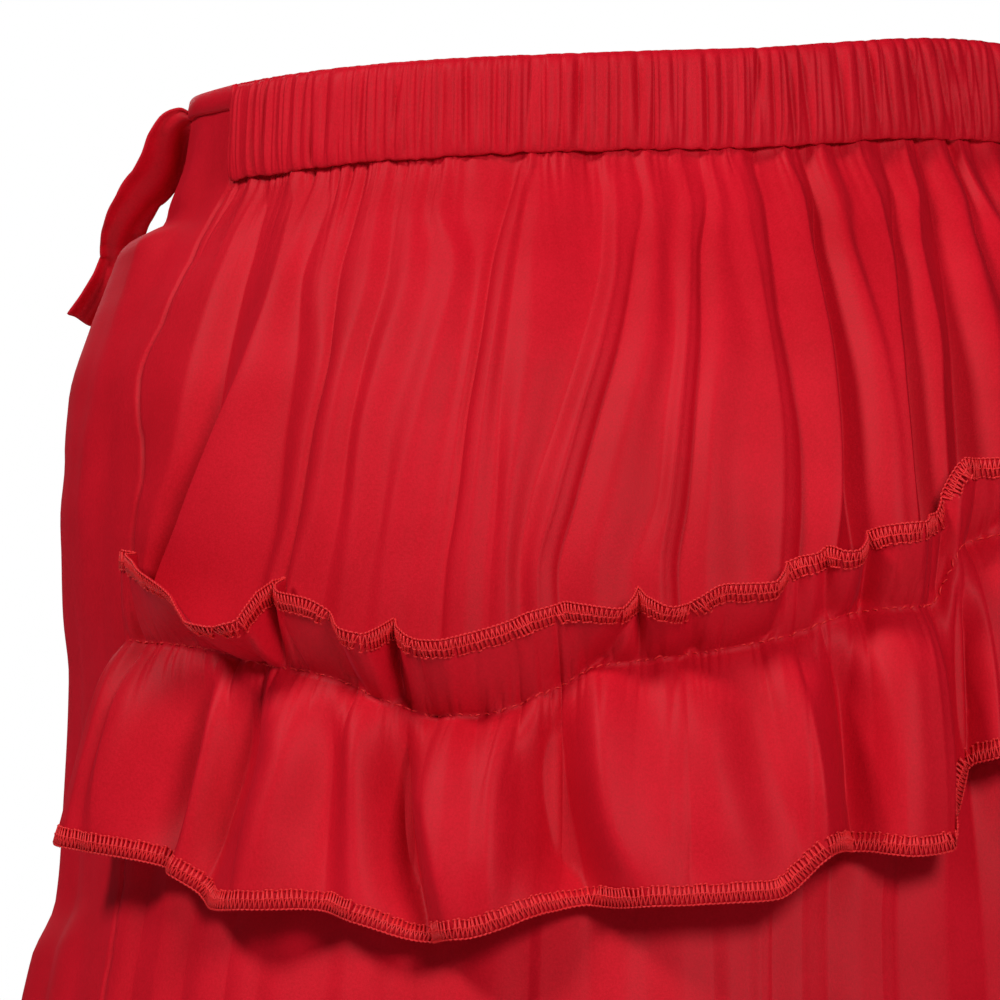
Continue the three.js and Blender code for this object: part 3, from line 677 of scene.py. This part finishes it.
def bandHeight(angle):
    fromSide = np.minimum(angle, 360 - angle)
    share = np.clip((fromSide - band["taperFrom"]) / (band["taperTo"] - band["taperFrom"]), 0, 1)
    return band["sideHeight"] + (band["frontHeight"] - band["sideHeight"]) * share


def frontEdges(z):
    return float(seamAt(z)), 360 - float(seamAt(z))


# The front panel's folds: quiet near the waist, deep at the hem
frontLines = foldLines([
    ((105, 106, 107, 106, 101), (-0.3, -0.8, -1.5, -4, -15), (0.4, 0.4)),
    ((114, 115, 115, 113, 108), (0, 0, 0, 0, 0), (0, 0)),
    ((124, 124, 124, 121, 115), (-0.2, -0.6, -2, -4, -18), (0.4, 0.4)),
    ((133, 133, 132, 129, 123), (0, 0, 0, 0, 0), (0, 0)),
    ((141, 141, 140, 137, 131), (-0.2, -1, -2.5, -5, -14), (0.4, 0.4)),
    ((149, 149, 148, 145, 140), (0, 0, 0, 0, 0), (0, 0)),
    ((156, 156, 155, 153, 149), (-0.2, -0.8, -2, -5, -19), (0.4, 0.4)),
    ((164, 164, 163, 162, 159), (0, 0, 0, 0, 0), (0, 0)),
    ((171, 171, 170, 170, 169), (-0.2, -1, -2.5, -4, -15), (0.4, 0.4)),
])
frontMiddle = foldLines([((180, 180, 180, 180, 180), (0, 0, 0, 0, 0), (0, 0))])
frontFolds = dict(
    places=(-29, -81, -146, -240, -950), stages=(-28, -100, -140, -240, -950), closest=0.5,
    lines=frontLines + frontMiddle + mirrored(frontLines, 360),
)
frontLook = dict(
    left=260, right=140, edge=90.5, split=140.0, top=(-4.6, -7.6, -10, -13, -16, -19, -22, -25, -27.6),
    seamTop=-28, sway=0.45, swayTop=-5.0, swayFrom=30.0, under=0.6, across=180, grooveFrom=0.35,
)


# The front panel's columns, closer together on the wearer's left, which the camera reaches
def frontShares():
    span = 360 - 2 * frontLook["edge"]
    split = (frontLook["split"] - frontLook["edge"]) / span
    return inTwoParts(0, split, 1, frontLook["left"], frontLook["right"])


# How far the front cloth blouses over at a place
def lipOut(angles, z):
    return lipAt(z) * lipShare(np.minimum(angles, 360 - angles))


def buildFrontPanel():
    shares = frontShares()
    heights = np.concatenate([frontLook["top"][:-1], panelHeights(frontLook["top"][-1])])
    angles = []
    for z in heights:
        low, high = frontEdges(min(z, frontLook["seamTop"]))
        angles.append(low - frontLook["under"] + shares * (high - low + 2 * frontLook["under"]))
    angles = np.array(angles)
    off = foldsAt(frontFolds, frontEdges, angles, np.minimum(heights, frontLook["seamTop"]))
    for row, z in enumerate(heights):
        swayed = 1 - math.exp((z - frontLook["swayTop"]) / frontLook["swayFrom"])
        off[row] += frontLook["sway"] * swayed * undulation(angles[row], z) + lipOut(angles[row], z)
        fromEdge = np.minimum(shares, 1 - shares) * frontLook["across"]
        fromEdge = np.maximum(fromEdge - frontLook["grooveFrom"], 0)
        off[row] += drawnIn(fromEdge, z) - seamDraw["tucked"] * (fromEdge < seamDraw["tuckedTo"])
    made = rowsToPanel("frontPanel", angles, heights, off, len(shares))
    finishPiece(made, "front_panel")
    return made


frontPanel = buildFrontPanel()
print("front panel built")


# A closed narrow band along the top of the front panel
def buildFrontBand():
    angles = np.linspace(band["taperFrom"], 360 - band["taperFrom"], band["columns"])
    height = bandHeight(angles)
    soft = band["soft"] * wander[1](angles * 2) + lipOut(angles, band["lipZ"])
    rows = [bodyPoint(angles, rise - share * height, out + loose * soft)
            for share, rise, out, loose in band["profile"]]
    faces = bandFaces(len(rows), band["columns"])
    made = makeObject("waistbandFront", np.array(rows), faces, closed=True)
    finishPiece(made, "waistband_front")
    return made


waistbandFront = buildFrontBand()
print("front band built")

# The ruffle: how far its header leans out from upright. It leans far in each scallop and stands up in the
# narrow folds between them.
headerLean = dict(
    angle=(-91, -84, -76, -68, -61, -54, -47, -40, -33, -26, -20, -13, -6, 0, 4.4, 7.2, 9.7, 11, 14, 15, 16,
           17, 18, 19.1, 20, 21.5, 22.2, 23, 24, 26.5, 28, 30, 32, 34, 34.8, 35.2, 36.2, 38, 39.5, 41, 44,
           48, 51, 53, 55, 56.1, 56.6, 57.4, 59, 61, 63, 65.5, 67, 67.7, 68.3, 69, 71, 73.5, 75, 76.5, 78,
           81, 83, 85, 88, 91),
    lean=(18, 55, 28, 60, 22, 55, 18, 58, 22, 60, 28, 50, 20, 38, 26, 12, 16, 28, 28, 30, 40, 46,
          42, 28, 30, 24, 24, 36, 46, 42, 40, 50, 56, 42, 24, 38, 51, 46, 38, 28, 26, 30, 40,
          38, 28, 18, 36, 47, 48, 38, 34, 34, 26, 8, 62, 66, 70, 70, 64, 56, 49, 38, 28, 20,
          8, 0),
)
headerLength = dict(
    angle=(-91, -50, -36, -20, 12, 20, 24, 38, 42, 48, 91),
    mm=(24, 24, 20.5, 22, 24, 21.5, 20.5, 20.5, 23, 24, 24.5),
)
# Narrow valleys across the header: the angle at its edge and at the gathering line, the depth and the width
valleyRows = [
    (76.5, 80.0, 1.6, 1.2), (67.6, 71.4, 3.4, 0.9), (60.6, 60.2, 2.2, 0.8), (56.2, 56.2, 3.0, 0.7),
    (46.5, 47.0, 1.0, 1.0), (42.6, 42.0, 1.0, 0.8), (34.7, 38.8, 3.2, 0.8), (30.6, 30.2, 2.8, 0.7),
    (22.3, 23.9, 2.8, 0.8), (19.2, 18.4, 2.6, 0.7), (14.9, 14.7, 3.4, 0.6), (7.4, 7.6, 3.2, 0.7),
    (1.0, 1.6, 2.8, 0.8), (-6.0, -6.4, 3.0, 0.8), (-20.0, -19.2, 2.6, 0.9), (-33.0, -34.2, 3.0, 0.9),
    (-47.0, -46.4, 3.0, 0.8), (-61.0, -62.4, 2.8, 0.8), (-76.0, -77.2, 3.0, 0.9),
]
headerValleys = [dict(zip(("edge", "line", "deep", "width"), row)) for row in valleyRows]
# The flounce's folds: angles and standing at the gathering line, a third and two thirds down, and the hem
flounceLines = foldLines([
    ((86, 85, 86, 88), (0, 4, 5, 4), (0, 0)),
    ((77.2, 77.6, 78.8, 80), (-3, -6, -6, -2), (0.3, 0.3)),
    ((74.6, 75, 76, 77.5), (0, 3, 3.5, 3), (0, 0)),
    ((71.2, 72, 73.6, 75), (-3, -6, -3.5, 0), (0.5, 0.3)),
    ((66, 66, 67.4, 69), (1, 5.5, 6.5, 5), (0, 0)),
    ((62.6, 62.2, 62.4, 62), (-1.5, -2.5, -2, -1), (0.5, 0)),
    ((60, 59.6, 59.4, 58.4), (1, 3, 2.5, 2), (0, 0)),
    ((55.6, 55.6, 54.6, 51.8), (-4, -7.5, -7.5, -2.5), (1.2, 0.3)),
    ((52.4, 52.6, 51, 49.2), (1, 6, 8, 5), (0, 0)),
    ((47, 47.4, 47.2, 46.6), (1, 5.5, 7.5, 4.5), (0, 0)),
    ((41.6, 42.1, 41.2, 38.8), (-4, -8.5, -9, -4), (0.6, 0.3)),
    ((37.6, 37.8, 37, 33.6), (1, 6, 8, 6), (0, 0)),
    ((34, 33.4, 33, 29), (-1.5, 3.5, 6.5, 5.6), (0, 0)),
    ((30.4, 30, 28, 26), (1, 6.5, 8, 6), (0, 0)),
    ((25.8, 24.8, 23.6, 22), (-1.5, 2.5, 5, 5), (0, 0)),
    ((22.4, 21.2, 20.6, 20.2), (1, 6.5, 8.5, 6), (0.8, 0)),
    ((19.2, 17.8, 17.2, 17.4), (-3.5, -7, -7, -3), (0.3, 1.2)),
    ((14.6, 14, 13.6, 13.6), (1, 5, 6, 5), (0, 0)),
    ((9.6, 9.2, 9.2, 9.6), (1, 4, 5, 4), (2, 0)),
    ((7, 6.2, 6, 6.2), (-3, -8, -9, -6), (0.8, 1)),
])
flounceMiddle = foldLines([
    ((3.6, 4, 4.2, 4.2), (0, 2, 3, 3), (0, 0)),
    ((-2.4, -2.2, -2, -2), (-1, -3, -4, -2), (0.6, 0.6)),
])
flounceFolds = dict(places=(0, 0.33, 0.67, 1), stages=(0, 0.33, 0.67, 1), closest=0.4,
                    lines=flounceLines + flounceMiddle + mirrored(flounceLines, 0))
flounceDrop = dict(
    angle=(-91, -70, -50, -30, -14, -4, 4.5, 8.7, 9.8, 13.1, 16.6, 19.5, 24.4, 28.3, 35.8, 43, 50, 58, 67.8,
           72.7, 78, 91),
    length=(55, 66, 60, 66, 62, 60, 56, 56, 64, 65, 62, 60, 68, 67, 65, 59, 60, 60, 65, 67, 61, 54.5),
)
ruffle = dict(
    columns=900, edge=90.0, split=-10.0, rightShare=0.22, headerRows=19, flounceRows=35, thick=0.5,
    underZ=-165.0, clear=2.0, follow=0.8, standReach=5.0,
)
header = dict(
    curl=8.0, stand=1.6, meanLength=24.0, standFade=0.6, least=0.7, valleyDeeper=1.5, valleyWider=1.3,
    valleyRound=1.6, valleyStart=0.15, valleyFade=0.35,
)
flounce = dict(
    stand=5.2, flare=2.0, deeper=1.3, foldsFrom=9.0, followReach=60.0, least=1.0, cornerFrom=76.0,
    cornerRound=3.4, cornerOut=4.5, foldsTo=91.5,
)
headerGathers = dict(layers=((1.5, 1.5, 5.0), (3.4, 2.0, 10.0)), slant=0.06, narrow=0.34, seed=17)
flounceGathers = dict(layers=((1.5, 1.6, 5.0), (3.4, 2.4, 9.5)), slant=0.06, narrow=0.34, seed=29)


# The flounce's folds run between the same two angles at every level
def flounceEdges(level):
    return -flounce["foldsTo"], flounce["foldsTo"]


# The ruffle's columns, closer together where the camera reaches
def ruffleAngles():
    right = int(ruffle["columns"] * ruffle["rightShare"])
    left = ruffle["columns"] - right
    return inTwoParts(-ruffle["edge"], ruffle["split"], ruffle["edge"], right, left)


# The standing header, from its top edge down to just above the gathering line
def headerGrid(angles, line, under, base):
    lean = curve(headerLean["angle"], headerLean["lean"])(angles)
    length = curve(headerLength["angle"], headerLength["mm"])(angles)
    count = ruffle["headerRows"]
    steps = np.linspace(0, 1, count)
    curl = header["curl"] * np.sin(np.radians(lean))
    bent = np.radians(lean[None, :] + curl[None, :] * (1 - 2 * steps[:, None]))
    stride = length / (count - 1)
    up, out = (np.concatenate([np.zeros((1, len(angles))), np.cumsum(part(bent[1:]), axis=0)]) * stride
               for part in (np.cos, np.sin))
    rows = []
    for i in range(count - 1, 0, -1):
        t = steps[i]
        push = header["stand"] * (1 - math.exp(-t * header["meanLength"] / ruffle["standReach"]))
        push *= 1 - header["standFade"] * t
        valley = np.zeros_like(angles)
        for groove in headerValleys:
            centre = groove["line"] + (groove["edge"] - groove["line"]) * t
            near = np.abs(angles - centre) / (header["valleyWider"] * groove["width"])
            deep = header["valleyDeeper"] * groove["deep"]
            grown = min(1, t / header["valleyStart"]) * (1 - header["valleyFade"] * t)
            valley += deep * np.exp(-near ** header["valleyRound"]) * grown
        at = base + out[i] + push - valley + gathersFrom(headerGathers, angles, t * length)
        rows.append(bodyPoint(angles, line + up[i], np.maximum(at, under + header["least"])))
    return rows


# The flounce, from the gathering line down to its hem
def flounceGrid(angles, line, under, base):
    dropAt = curve(flounceDrop["angle"], flounceDrop["length"])(angles)
    count = ruffle["flounceRows"]
    shares = np.linspace(0, 1, count)
    folds = foldsAt(flounceFolds, flounceEdges, np.tile(angles, (count, 1)), shares)
    fromCorner = (np.abs(angles) - flounce["cornerFrom"]) / (ruffle["edge"] - flounce["cornerFrom"])
    rows = []
    for i, t in enumerate(shares):
        dist = t * dropAt
        stand = flounce["stand"] * (1 - np.exp(-dist / ruffle["standReach"])) + flounce["flare"] * t
        grown = 1 - np.exp(-dist / flounce["foldsFrom"])
        corner = np.clip(fromCorner, 0, 1) ** 2 * t
        follow = np.exp(-dist / flounce["followReach"])
        at = base * follow + ruffle["clear"] * (1 - follow) + stand + flounce["deeper"] * folds[i] * grown
        at = at + gathersFrom(flounceGathers, angles, dist)
        at = np.maximum(at, under + flounce["least"]) + corner * flounce["cornerOut"]
        place = angles + np.sign(angles) * flounce["cornerRound"] * corner
        rows.append(bodyPoint(place, line - dist, at))
    return rows


def ruffleGrid():
    angles = ruffleAngles()
    line = gatherAt(angles)
    under = backOff(np.array([angles]), np.array([ruffle["underZ"]]))[0]
    base = ruffle["clear"] + ruffle["follow"] * under
    return np.array(headerGrid(angles, line, under, base) + flounceGrid(angles, line, under, base))


ruffleRows = ruffleGrid()


def buildRuffle():
    rows, columns = ruffleRows.shape[:2]
    made = makeObject("ruffleStrip", ruffleRows, gridFaces(rows, columns), closed=False)
    thicken(made, ruffle["thick"])
    finishPiece(made, "ruffle")
    return made


ruffleSheet = buildRuffle()
print("ruffle built")

# The ties: where each is, how far off the cloth, how wide, and its turn about its own line
tieRoute = dict(
    angle=(110, 110.5, 111.5, 113, 114.5, 116, 117.5, 119, 120.5, 122, 123, 123.5, 124, 124.5),
    z=(-4.4, -4.8, -6.6, -10, -15.1, -20.2, -25, -29.6, -33.6, -37.3, -41.5, -47, -51.8, -57.2),
    out=(2.4, 3.6, 5.6, 7, 8.4, 11, 14.6, 16, 15, 12.7, 9.6, 8.4, 8.8, 9.8),
    width=(3, 7, 11.5, 14.5, 15.5, 15, 14, 13, 12, 11.5, 11, 10.5, 10.5, 11),
    turn=(80, 78, 74, 70, 66, 62, 60, 64, 70, 76, 76, 70, 64, 60),
)
tieLook = dict(rows=80, across=15, crease=0.8, creaseWaves=5.2, drift=0.9, thick=0.7)


def buildTie(name, node, side):
    place = np.linspace(0, len(tieRoute["angle"]) - 1, tieLook["rows"])
    index = list(range(len(tieRoute["angle"])))
    column = {key: curve(index, tieRoute[key])(place) for key in tieRoute}
    centres = bodyPoint(column["angle"], column["z"], column["out"])
    heading = np.gradient(centres, axis=0)
    heading /= np.linalg.norm(heading, axis=1)[:, None]
    rows = []
    for i in range(len(place)):
        angle = math.radians(column["angle"][i])
        h = Vector(heading[i])
        level = Vector((math.cos(angle), -math.sin(angle), 0))
        across = (level - h * level.dot(h)).normalized()
        across = Matrix.Rotation(math.radians(column["turn"][i]), 3, h) @ across
        face = h.cross(across).normalized()
        line = []
        for j in range(tieLook["across"]):
            u = j / (tieLook["across"] - 1) * 2 - 1
            phase = math.sin(place[i] * tieLook["drift"]) * tieLook["drift"]
            fold = tieLook["crease"] * math.cos(u * tieLook["creaseWaves"] + phase)
            point = Vector(centres[i]) + across * (u * column["width"][i] / 2) + face * fold
            line.append((point.x * side, point.y, point.z))
        rows.append(line)
    made = makeObject(name, np.array(rows), gridFaces(len(rows), tieLook["across"]), closed=False)
    thicken(made, tieLook["thick"])
    finishPiece(made, node)
    return made


tieLeft = buildTie("tieLeft", "tie_left", 1)
tieRight = buildTie("tieRight", "tie_right", -1)
print("ties built")


# A thread: a five-sided tube through points
def threadTube(points, radius, sides=5):
    pts = [Vector(p) for p in points]
    ring = []
    for i, point in enumerate(pts):
        ahead = (pts[min(i + 1, len(pts) - 1)] - pts[max(i - 1, 0)]).normalized()
        side = ahead.orthogonal().normalized()
        other = ahead.cross(side)
        ring.append([point + (side * math.cos(a) + other * math.sin(a)) * radius
                     for a in (k * 2 * math.pi / sides for k in range(sides))])
    verts = [tuple(v) for loop in ring for v in loop]
    faces = []
    for i in range(len(pts) - 1):
        for k in range(sides):
            n = (k + 1) % sides
            faces.append((i * sides + k, i * sides + n, (i + 1) * sides + n, (i + 1) * sides + k))
    faces.append(tuple(reversed(range(sides))))
    faces.append(tuple((len(pts) - 1) * sides + k for k in range(sides)))
    return verts, faces


def joinParts(parts):
    verts = []
    faces = []
    for partVerts, partFaces in parts:
        base = len(verts)
        verts += partVerts
        faces += [tuple(base + k for k in face) for face in partFaces]
    return verts, faces


overlock = dict(pitch=1.3, width=4.7, radius=0.23, lift=0.5, off=0.25, sizes=(0.94, 1.06), twist=0.07)


# One stitch of the overlocked edge: x along the edge, y in from it, z off the cloth
def overlockStitch():
    p = overlock["pitch"]
    w = overlock["width"]
    r = overlock["radius"]
    h = overlock["lift"]
    parts = [
        threadTube([(0, 0.1, h * 0.7), (p * 0.45, w * 0.5, h), (p * 0.6, w, h * 0.8)], r),
        threadTube([(p * 0.6, w, h * 0.9), (p * 0.8, w * 0.5, h * 1.2), (p * 1.05, 0.1, h * 0.8)], r),
        threadTube([(0.1, w, h * 0.7), (p * 0.5, w + 0.15, h * 1.1), (p * 0.9, w, h * 0.7)], r),
        threadTube([(0, w * 0.5, h), (p * 0.5, w * 0.56, h * 1.4), (p, w * 0.5, h)], r),
        threadTube([(0, -0.1, h * 0.3), (p * 0.5, -0.35, 0), (p, -0.1, h * 0.3)], r * 1.2),
    ]
    return joinParts(parts)


def makeUnit(name, shape):
    verts, faces = shape
    mesh = bpy.data.meshes.new(name)
    mesh.from_pydata([tuple(c * mm for c in v) for v in verts], [], faces)
    smoothFaces(mesh)
    return bpy.data.objects.new(name, mesh)


# A random number for each point, between two given ones
def randomValue(tree, given, low, high):
    node = addNode(tree, "FunctionNodeRandomValue", {"Seed": given.outputs["Seed"]}, data_type="FLOAT")
    for socket in node.inputs:
        if socket.enabled and socket.name == "Min":
            tree.links.new(low, socket)
        if socket.enabled and socket.name == "Max":
            tree.links.new(high, socket)
    return [socket for socket in node.outputs if socket.enabled][0]


# A node tree that sets one stitch on each point, turned by the point's own along and face directions
def stitchTree(name):
    tree = bpy.data.node_groups.new(name, "GeometryNodeTree")
    sockets = dict(Points="Geometry", Stitch="Object", Thread="Material", Smallest="Float", Largest="Float",
                   Twist="Float", Seed="Int")
    for socket, kind in sockets.items():
        tree.interface.new_socket(socket, in_out="INPUT", socket_type="NodeSocket" + kind)
    tree.interface.new_socket("Stitches", in_out="OUTPUT", socket_type="NodeSocketGeometry")
    given = addNode(tree, "NodeGroupInput")
    along = addNode(tree, "GeometryNodeInputNamedAttribute", data_type="FLOAT_VECTOR", in_Name="along")
    face = addNode(tree, "GeometryNodeInputNamedAttribute", data_type="FLOAT_VECTOR", in_Name="face")
    turn = addNode(tree, "FunctionNodeAxesToRotation", {
        "Primary Axis": face.outputs["Attribute"], "Secondary Axis": along.outputs["Attribute"],
    }, primary_axis="Z", secondary_axis="X")
    unit = addNode(tree, "GeometryNodeObjectInfo", {"Object": given.outputs["Stitch"]},
                   transform_space="ORIGINAL")
    size = randomValue(tree, given, given.outputs["Smallest"], given.outputs["Largest"])
    back = addNode(tree, "ShaderNodeMath", {0: given.outputs["Twist"]}, in_1=-1.0, operation="MULTIPLY")
    spin = randomValue(tree, given, back.outputs[0], given.outputs["Twist"])
    spun = addNode(tree, "FunctionNodeAxisAngleToRotation", {"Angle": spin}, in_Axis=(0, 0, 1))
    turned = addNode(tree, "FunctionNodeRotateRotation", {
        "Rotation": turn.outputs["Rotation"], "Rotate By": spun.outputs["Rotation"],
    }, rotation_space="LOCAL")
    placed = addNode(tree, "GeometryNodeInstanceOnPoints", {
        "Points": given.outputs["Points"], "Instance": unit.outputs["Geometry"],
        "Rotation": turned.outputs["Rotation"], "Scale": size,
    })
    real = addNode(tree, "GeometryNodeRealizeInstances", {"Geometry": placed.outputs["Instances"]})
    painted = addNode(tree, "GeometryNodeSetMaterial", {
        "Geometry": real.outputs["Geometry"], "Material": given.outputs["Thread"],
    })
    addNode(tree, "NodeGroupOutput", {"Stitches": painted.outputs["Geometry"]})
    return tree


stitchNodes = stitchTree("stitchesOnPoints")


def stitchPiece(name, places, alongs, faces, unit, sizes, twist, seed):
    mesh = bpy.data.meshes.new(name)
    mesh.from_pydata((np.asarray(places) * mm).tolist(), [], [])
    for key, values in (("along", alongs), ("face", faces)):
        attribute = mesh.attributes.new(key, "FLOAT_VECTOR", "POINT")
        attribute.data.foreach_set("vector", np.asarray(values, dtype=np.float32).ravel())
    made = newObject(name, mesh)
    modifier = made.modifiers.new("stitches", "NODES")
    modifier.node_group = stitchNodes
    values = dict(Stitch=unit, Thread=thread, Smallest=sizes[0], Largest=sizes[1], Twist=twist, Seed=seed)
    for item in stitchNodes.interface.items_tree:
        if item.in_out == "INPUT" and item.name in values:
            modifier[item.identifier] = values[item.name]
    applyAll(made)
    for key in ("along", "face"):
        if key in made.data.attributes:
            made.data.attributes.remove(made.data.attributes[key])
    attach(made, "root")
    return made


# Points at an even step along one edge of a grid, with their directions
def edgePoints(edge, inner, step, ahead=0.4):
    lengths = np.concatenate([[0], np.cumsum(np.linalg.norm(np.diff(edge, axis=0), axis=1))])
    stations = np.arange(step / 2, lengths[-1] - step / 2, step)

    def pointsOn(line, places):
        return np.stack([np.interp(places, lengths, line[:, k]) for k in range(3)], axis=1)

    at = pointsOn(edge, stations)
    along = pointsOn(edge, stations + step * ahead) - at
    along /= np.linalg.norm(along, axis=1)[:, None]
    face = np.cross(along, pointsOn(inner, stations) - at)
    face /= np.linalg.norm(face, axis=1)[:, None]
    return at, along, face


# One overlocked edge: the row along the cloth's edge, and a row further in for the direction of the cloth
def buildOverlock(name, unit, edge, inner, seed):
    at, along, face = edgePoints(edge, inner, overlock["pitch"])
    at = at + face * overlock["off"]
    return stitchPiece(name, at, along, face, unit, overlock["sizes"], overlock["twist"], seed)


def buildOverlocks():
    unit = makeUnit("overlockStitch", overlockStitch())
    return [
        buildOverlock("headerOverlock", unit, ruffleRows[0], ruffleRows[4], 3),
        buildOverlock("flounceOverlock", unit, ruffleRows[-1][::-1], ruffleRows[-4][::-1], 5),
    ]


overlocks = buildOverlocks()
print("overlocked edges built")

dash = dict(
    pitch=2.7, length=2.2, radius=0.24, rise=0.2, sink=-0.25, off=0.3, sizes=(0.8, 1.15), twist=0.5, seed=9,
)


# A row of single stitches along the gathering line
def buildGatherStitches():
    half = dash["length"] / 2
    unit = makeUnit("dash", threadTube([
        (-half, 0, dash["sink"]), (-half / 2, 0, dash["rise"]), (half / 2, 0, dash["rise"]),
        (half, 0, dash["sink"]),
    ], dash["radius"]))
    row = ruffle["headerRows"] - 1
    at, along, face = edgePoints(ruffleRows[row], ruffleRows[row + 1], dash["pitch"])
    at = at + face * dash["off"]
    return stitchPiece("gatherStitches", at, along, face, unit, dash["sizes"], dash["twist"], dash["seed"])


gatherStitches = buildGatherStitches()
print("gathering stitches built")


# Soft studio light on white: where each lamp stands round the skirt, its size in metres and its power. The
# world gives a little light to matt surfaces, and is white where the camera sees it.
lights = dict(
    middle=(0.04, 0.05, -0.12), worldPower=0.07,
    lamps=[
        dict(name="key", turn=86, rise=42, distance=2.4, size=0.6, power=34),
        dict(name="fill", turn=12, rise=20, distance=2.4, size=0.8, power=32),
        dict(name="front", turn=200, rise=30, distance=2.8, size=1.6, power=22),
    ],
)


def addLamp(lamp):
    data = bpy.data.lights.new(lamp["name"], "AREA")
    data.shape = "DISK"
    data.size = lamp["size"]
    data.energy = lamp["power"]
    aimAt(newObject(lamp["name"], data), Vector(lights["middle"]), lamp, lamp["distance"])


def lightWorld():
    world = bpy.data.worlds.new("studio")
    bpy.context.scene.world = world
    world.use_nodes = True
    nodes = world.node_tree
    nodes.nodes.clear()
    path = addNode(nodes, "ShaderNodeLightPath")
    glossy = path.outputs["Is Glossy Ray"]
    matt = addNode(nodes, "ShaderNodeMath", {1: glossy}, in_0=1.0, operation="SUBTRACT")
    level = addNode(nodes, "ShaderNodeMath", {0: matt.outputs[0]}, in_1=lights["worldPower"],
                    operation="MULTIPLY")
    soft = addNode(nodes, "ShaderNodeBackground", {"Strength": level.outputs[0]}, in_Color=(1, 1, 1, 1))
    plain = addNode(nodes, "ShaderNodeBackground", in_Color=(1, 1, 1, 1), in_Strength=1.0)
    mix = addNode(nodes, "ShaderNodeMixShader", {
        0: path.outputs["Is Camera Ray"], 1: soft.outputs[0], 2: plain.outputs[0],
    })
    addNode(nodes, "ShaderNodeOutputWorld", {"Surface": mix.outputs[0]})


floorLook = dict(half=3.0, z=-0.98, colour="#f2f2f2", roughness=0.9)


# A pale paper floor, a little below the hem
def buildFloor():
    half = floorLook["half"]
    corners = [(-half, -half), (half, -half), (half, half), (-half, half)]
    mesh = bpy.data.meshes.new("floor")
    mesh.from_pydata([corner + (floorLook["z"],) for corner in corners], [], [(0, 1, 2, 3)])
    floor = newObject("floor", mesh)
    material = newMaterial("palePaper")
    paper = linear(floorLook["colour"])
    shader = addNode(material.node_tree, "ShaderNodeBsdfPrincipled", in_Base_Color=paper,
                     in_Roughness=floorLook["roughness"])
    addNode(material.node_tree, "ShaderNodeOutputMaterial", {"Surface": shader.outputs["BSDF"]})
    mesh.materials.append(material)


for lamp in lights["lamps"]:
    addLamp(lamp)
lightWorld()
buildFloor()
bpy.context.scene.view_settings.view_transform = "Standard"
print("light and floor set")
